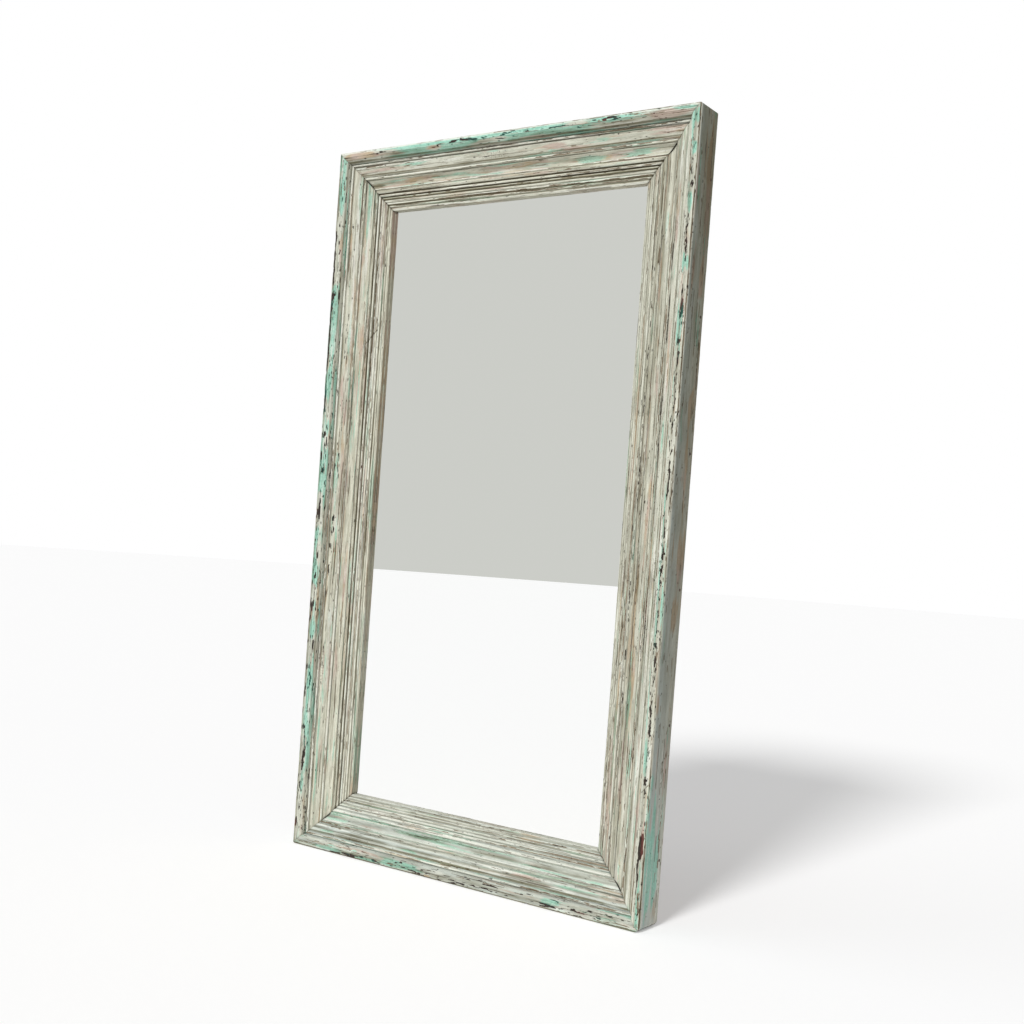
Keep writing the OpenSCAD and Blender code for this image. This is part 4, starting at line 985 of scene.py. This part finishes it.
# %% Timber of the back
def pine(name, run, shift):
    """Bands: a sine of 300 radians a metre across the grain plus 26 times slow noise, sharpened. Fibres: fine noise
    stretched along the grain. run is 0 for grain along X and 2 for grain along Z; shift makes each board its own."""
    f = Finish(name)
    place = f.place()
    moved = f.node("VectorMath", {"operation": "ADD"}, [place, (shift, shift * 0.7, shift * 1.3)])
    along = (1.4, 30, 30) if run == 0 else (30, 30, 1.4)
    fibre_size = (16, 900, 900) if run == 0 else (900, 900, 16)
    slow = f.noise(moved, along, 3, 0.5, 0.4)
    fibre = f.noise(moved, fibre_size, 3, 0.6)
    across = f.axis(moved, 2 - run)
    ring = f.sine(across * 300 + slow * 26) * 0.5 + 0.5
    late = f.step(ring + fibre.sway(0.3), 0.55, 0.98)
    wood = f.blend(late, shade(214, 184, 140), shade(176, 132, 86))
    wood = f.blend(f.step(fibre, 0.42, 0.62) * 0.3, wood, shade(150, 116, 80))
    stain = f.step(f.noise(moved, (5, 5, 5), 4), 0.50, 0.68)
    wood = f.blend(stain * 0.42, wood, shade(132, 108, 82))
    return f.surface(color=wood, rough=fibre * 0.2 + 0.6, level=0.3,
                     normal=f.bump(late * 0.5 + fibre * 0.7, 0.35, 0.0006))


for kind_name, side, run, shift in (
        ("stile", "left", 2, 3.4), ("stile", "right", 2, 5.1), ("rail", "top", 0, 8.5), ("rail", "bottom", 0, 10.2)):
    dress(f"subframe_{kind_name}_{side}", pine("pine_" + side, run, shift))


def speckled(name, dark, light, scale, rough, level=0.3):
    """Two colours in grains of one size, with a slow change of tone over them."""
    f = Finish(name)
    place = f.place()
    grain = f.noise(place, (scale, scale, scale), 4, 0.6)
    tone = f.noise(place, (7, 7, 7), 4)
    color = f.blend(f.step(grain + tone.sway(0.6), 0.36, 0.64), dark, light)
    return f.surface(color=color, rough=grain * 0.25 + (rough - 0.12), level=level, normal=f.bump(grain, 0.4, 0.0004))


dress("corner_dowels", speckled("beech_end_grain", shade(168, 128, 92), shade(206, 170, 130), 900, 0.62))
dress("backing_sheet", speckled("pale_card", shade(196, 186, 166), shade(218, 210, 192), 160, 0.8))
dress("setting_blocks", speckled("block_rubber", shade(30, 30, 31), shade(52, 51, 50), 240, 0.75))
dress("side_packers", speckled("packer_cork_grain", shade(128, 90, 56), shade(190, 148, 104), 380, 0.85))
dress("wall_bumpers", speckled("bumper_rubber", shade(28, 28, 29), shade(58, 56, 54), 160, 0.66, 0.4))


def hardboard(name):
    """Pressed fibre: short flecks, and the print of the wire screen as two sines 2.2 mm apart."""
    f = Finish(name)
    place = f.place()
    pitch = 2 * pi / 0.0022
    x, z = f.axis(place, 0), f.axis(place, 2)
    screen = f.sine(x * pitch) * f.sine(z * pitch)
    fleck = f.noise(place, (420, 420, 160), 4, 0.65, 0.6)
    tone = f.noise(place, (3.5, 3.5, 5), 5, 0.6)
    color = f.blend(f.step(fleck + tone.sway(0.7), 0.36, 0.64), shade(104, 74, 50), shade(148, 112, 80))
    color = f.blend(f.step(tone, 0.46, 0.70) * 0.22, color, shade(92, 68, 48))
    color = f.blend(screen * 0.08 + 0.08, color, shade(74, 54, 38))
    return f.surface(color=color, rough=fleck * 0.2 + 0.6, level=0.3,
                     normal=f.bump(screen * 0.3 + fleck * 0.6, 0.4, 0.0004))


dress("back_board", hardboard("brown_hardboard"))
print("back dressed")

# %% [markdown]
# ## Metal fittings
#
# The screws and hangers are zinc-plated steel: a grey, slightly bluish metal whose plating has dulled in patches and
# is scratched bright where it has been handled. The nails are bare iron, dark and rusty.

# %% Zinc and iron
def metal(name, bright, dull, rust, spread, rough):
    """Plating that dulls in patches: brightness and roughness follow the same slow noise, rust a second one."""
    f = Finish(name)
    place = f.place()
    patch = f.step(f.noise(place, (180, 180, 180), 4, 0.6), 0.40, 0.64)
    fine = f.noise(place, (1500, 1500, 300), 3, 0.6)
    rusty = f.step(f.noise(place, (260, 260, 260), 5, 0.65), 0.74 - spread, 0.84 - spread)
    color = f.blend(rusty, f.blend(patch, bright, dull), rust)
    return f.surface(color=color, metal=1 - rusty * 0.9, rough=patch * 0.14 + fine * 0.12 + rusty * 0.3 + rough,
                     normal=f.bump(fine + rusty * 0.6, 0.25, 0.0002))


zinc = metal("dulled_zinc", shade(206, 208, 212), shade(160, 163, 168), shade(126, 84, 56), 0.06, 0.22)
iron = metal("rusty_iron", shade(96, 90, 86), shade(64, 58, 54), shade(104, 62, 42), 0.26, 0.42)
for node in ("back_board_screws", "hanger_strap_left", "hanger_strap_right", "hanger_ring_left",
             "hanger_ring_right", "hanger_screws", "bumper_screws"):
    dress(node, zinc)
for node in ("face_nails", "slip_brads", "board_nails"):
    dress(node, iron)
print("fittings dressed:", [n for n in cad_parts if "hanger" in n])
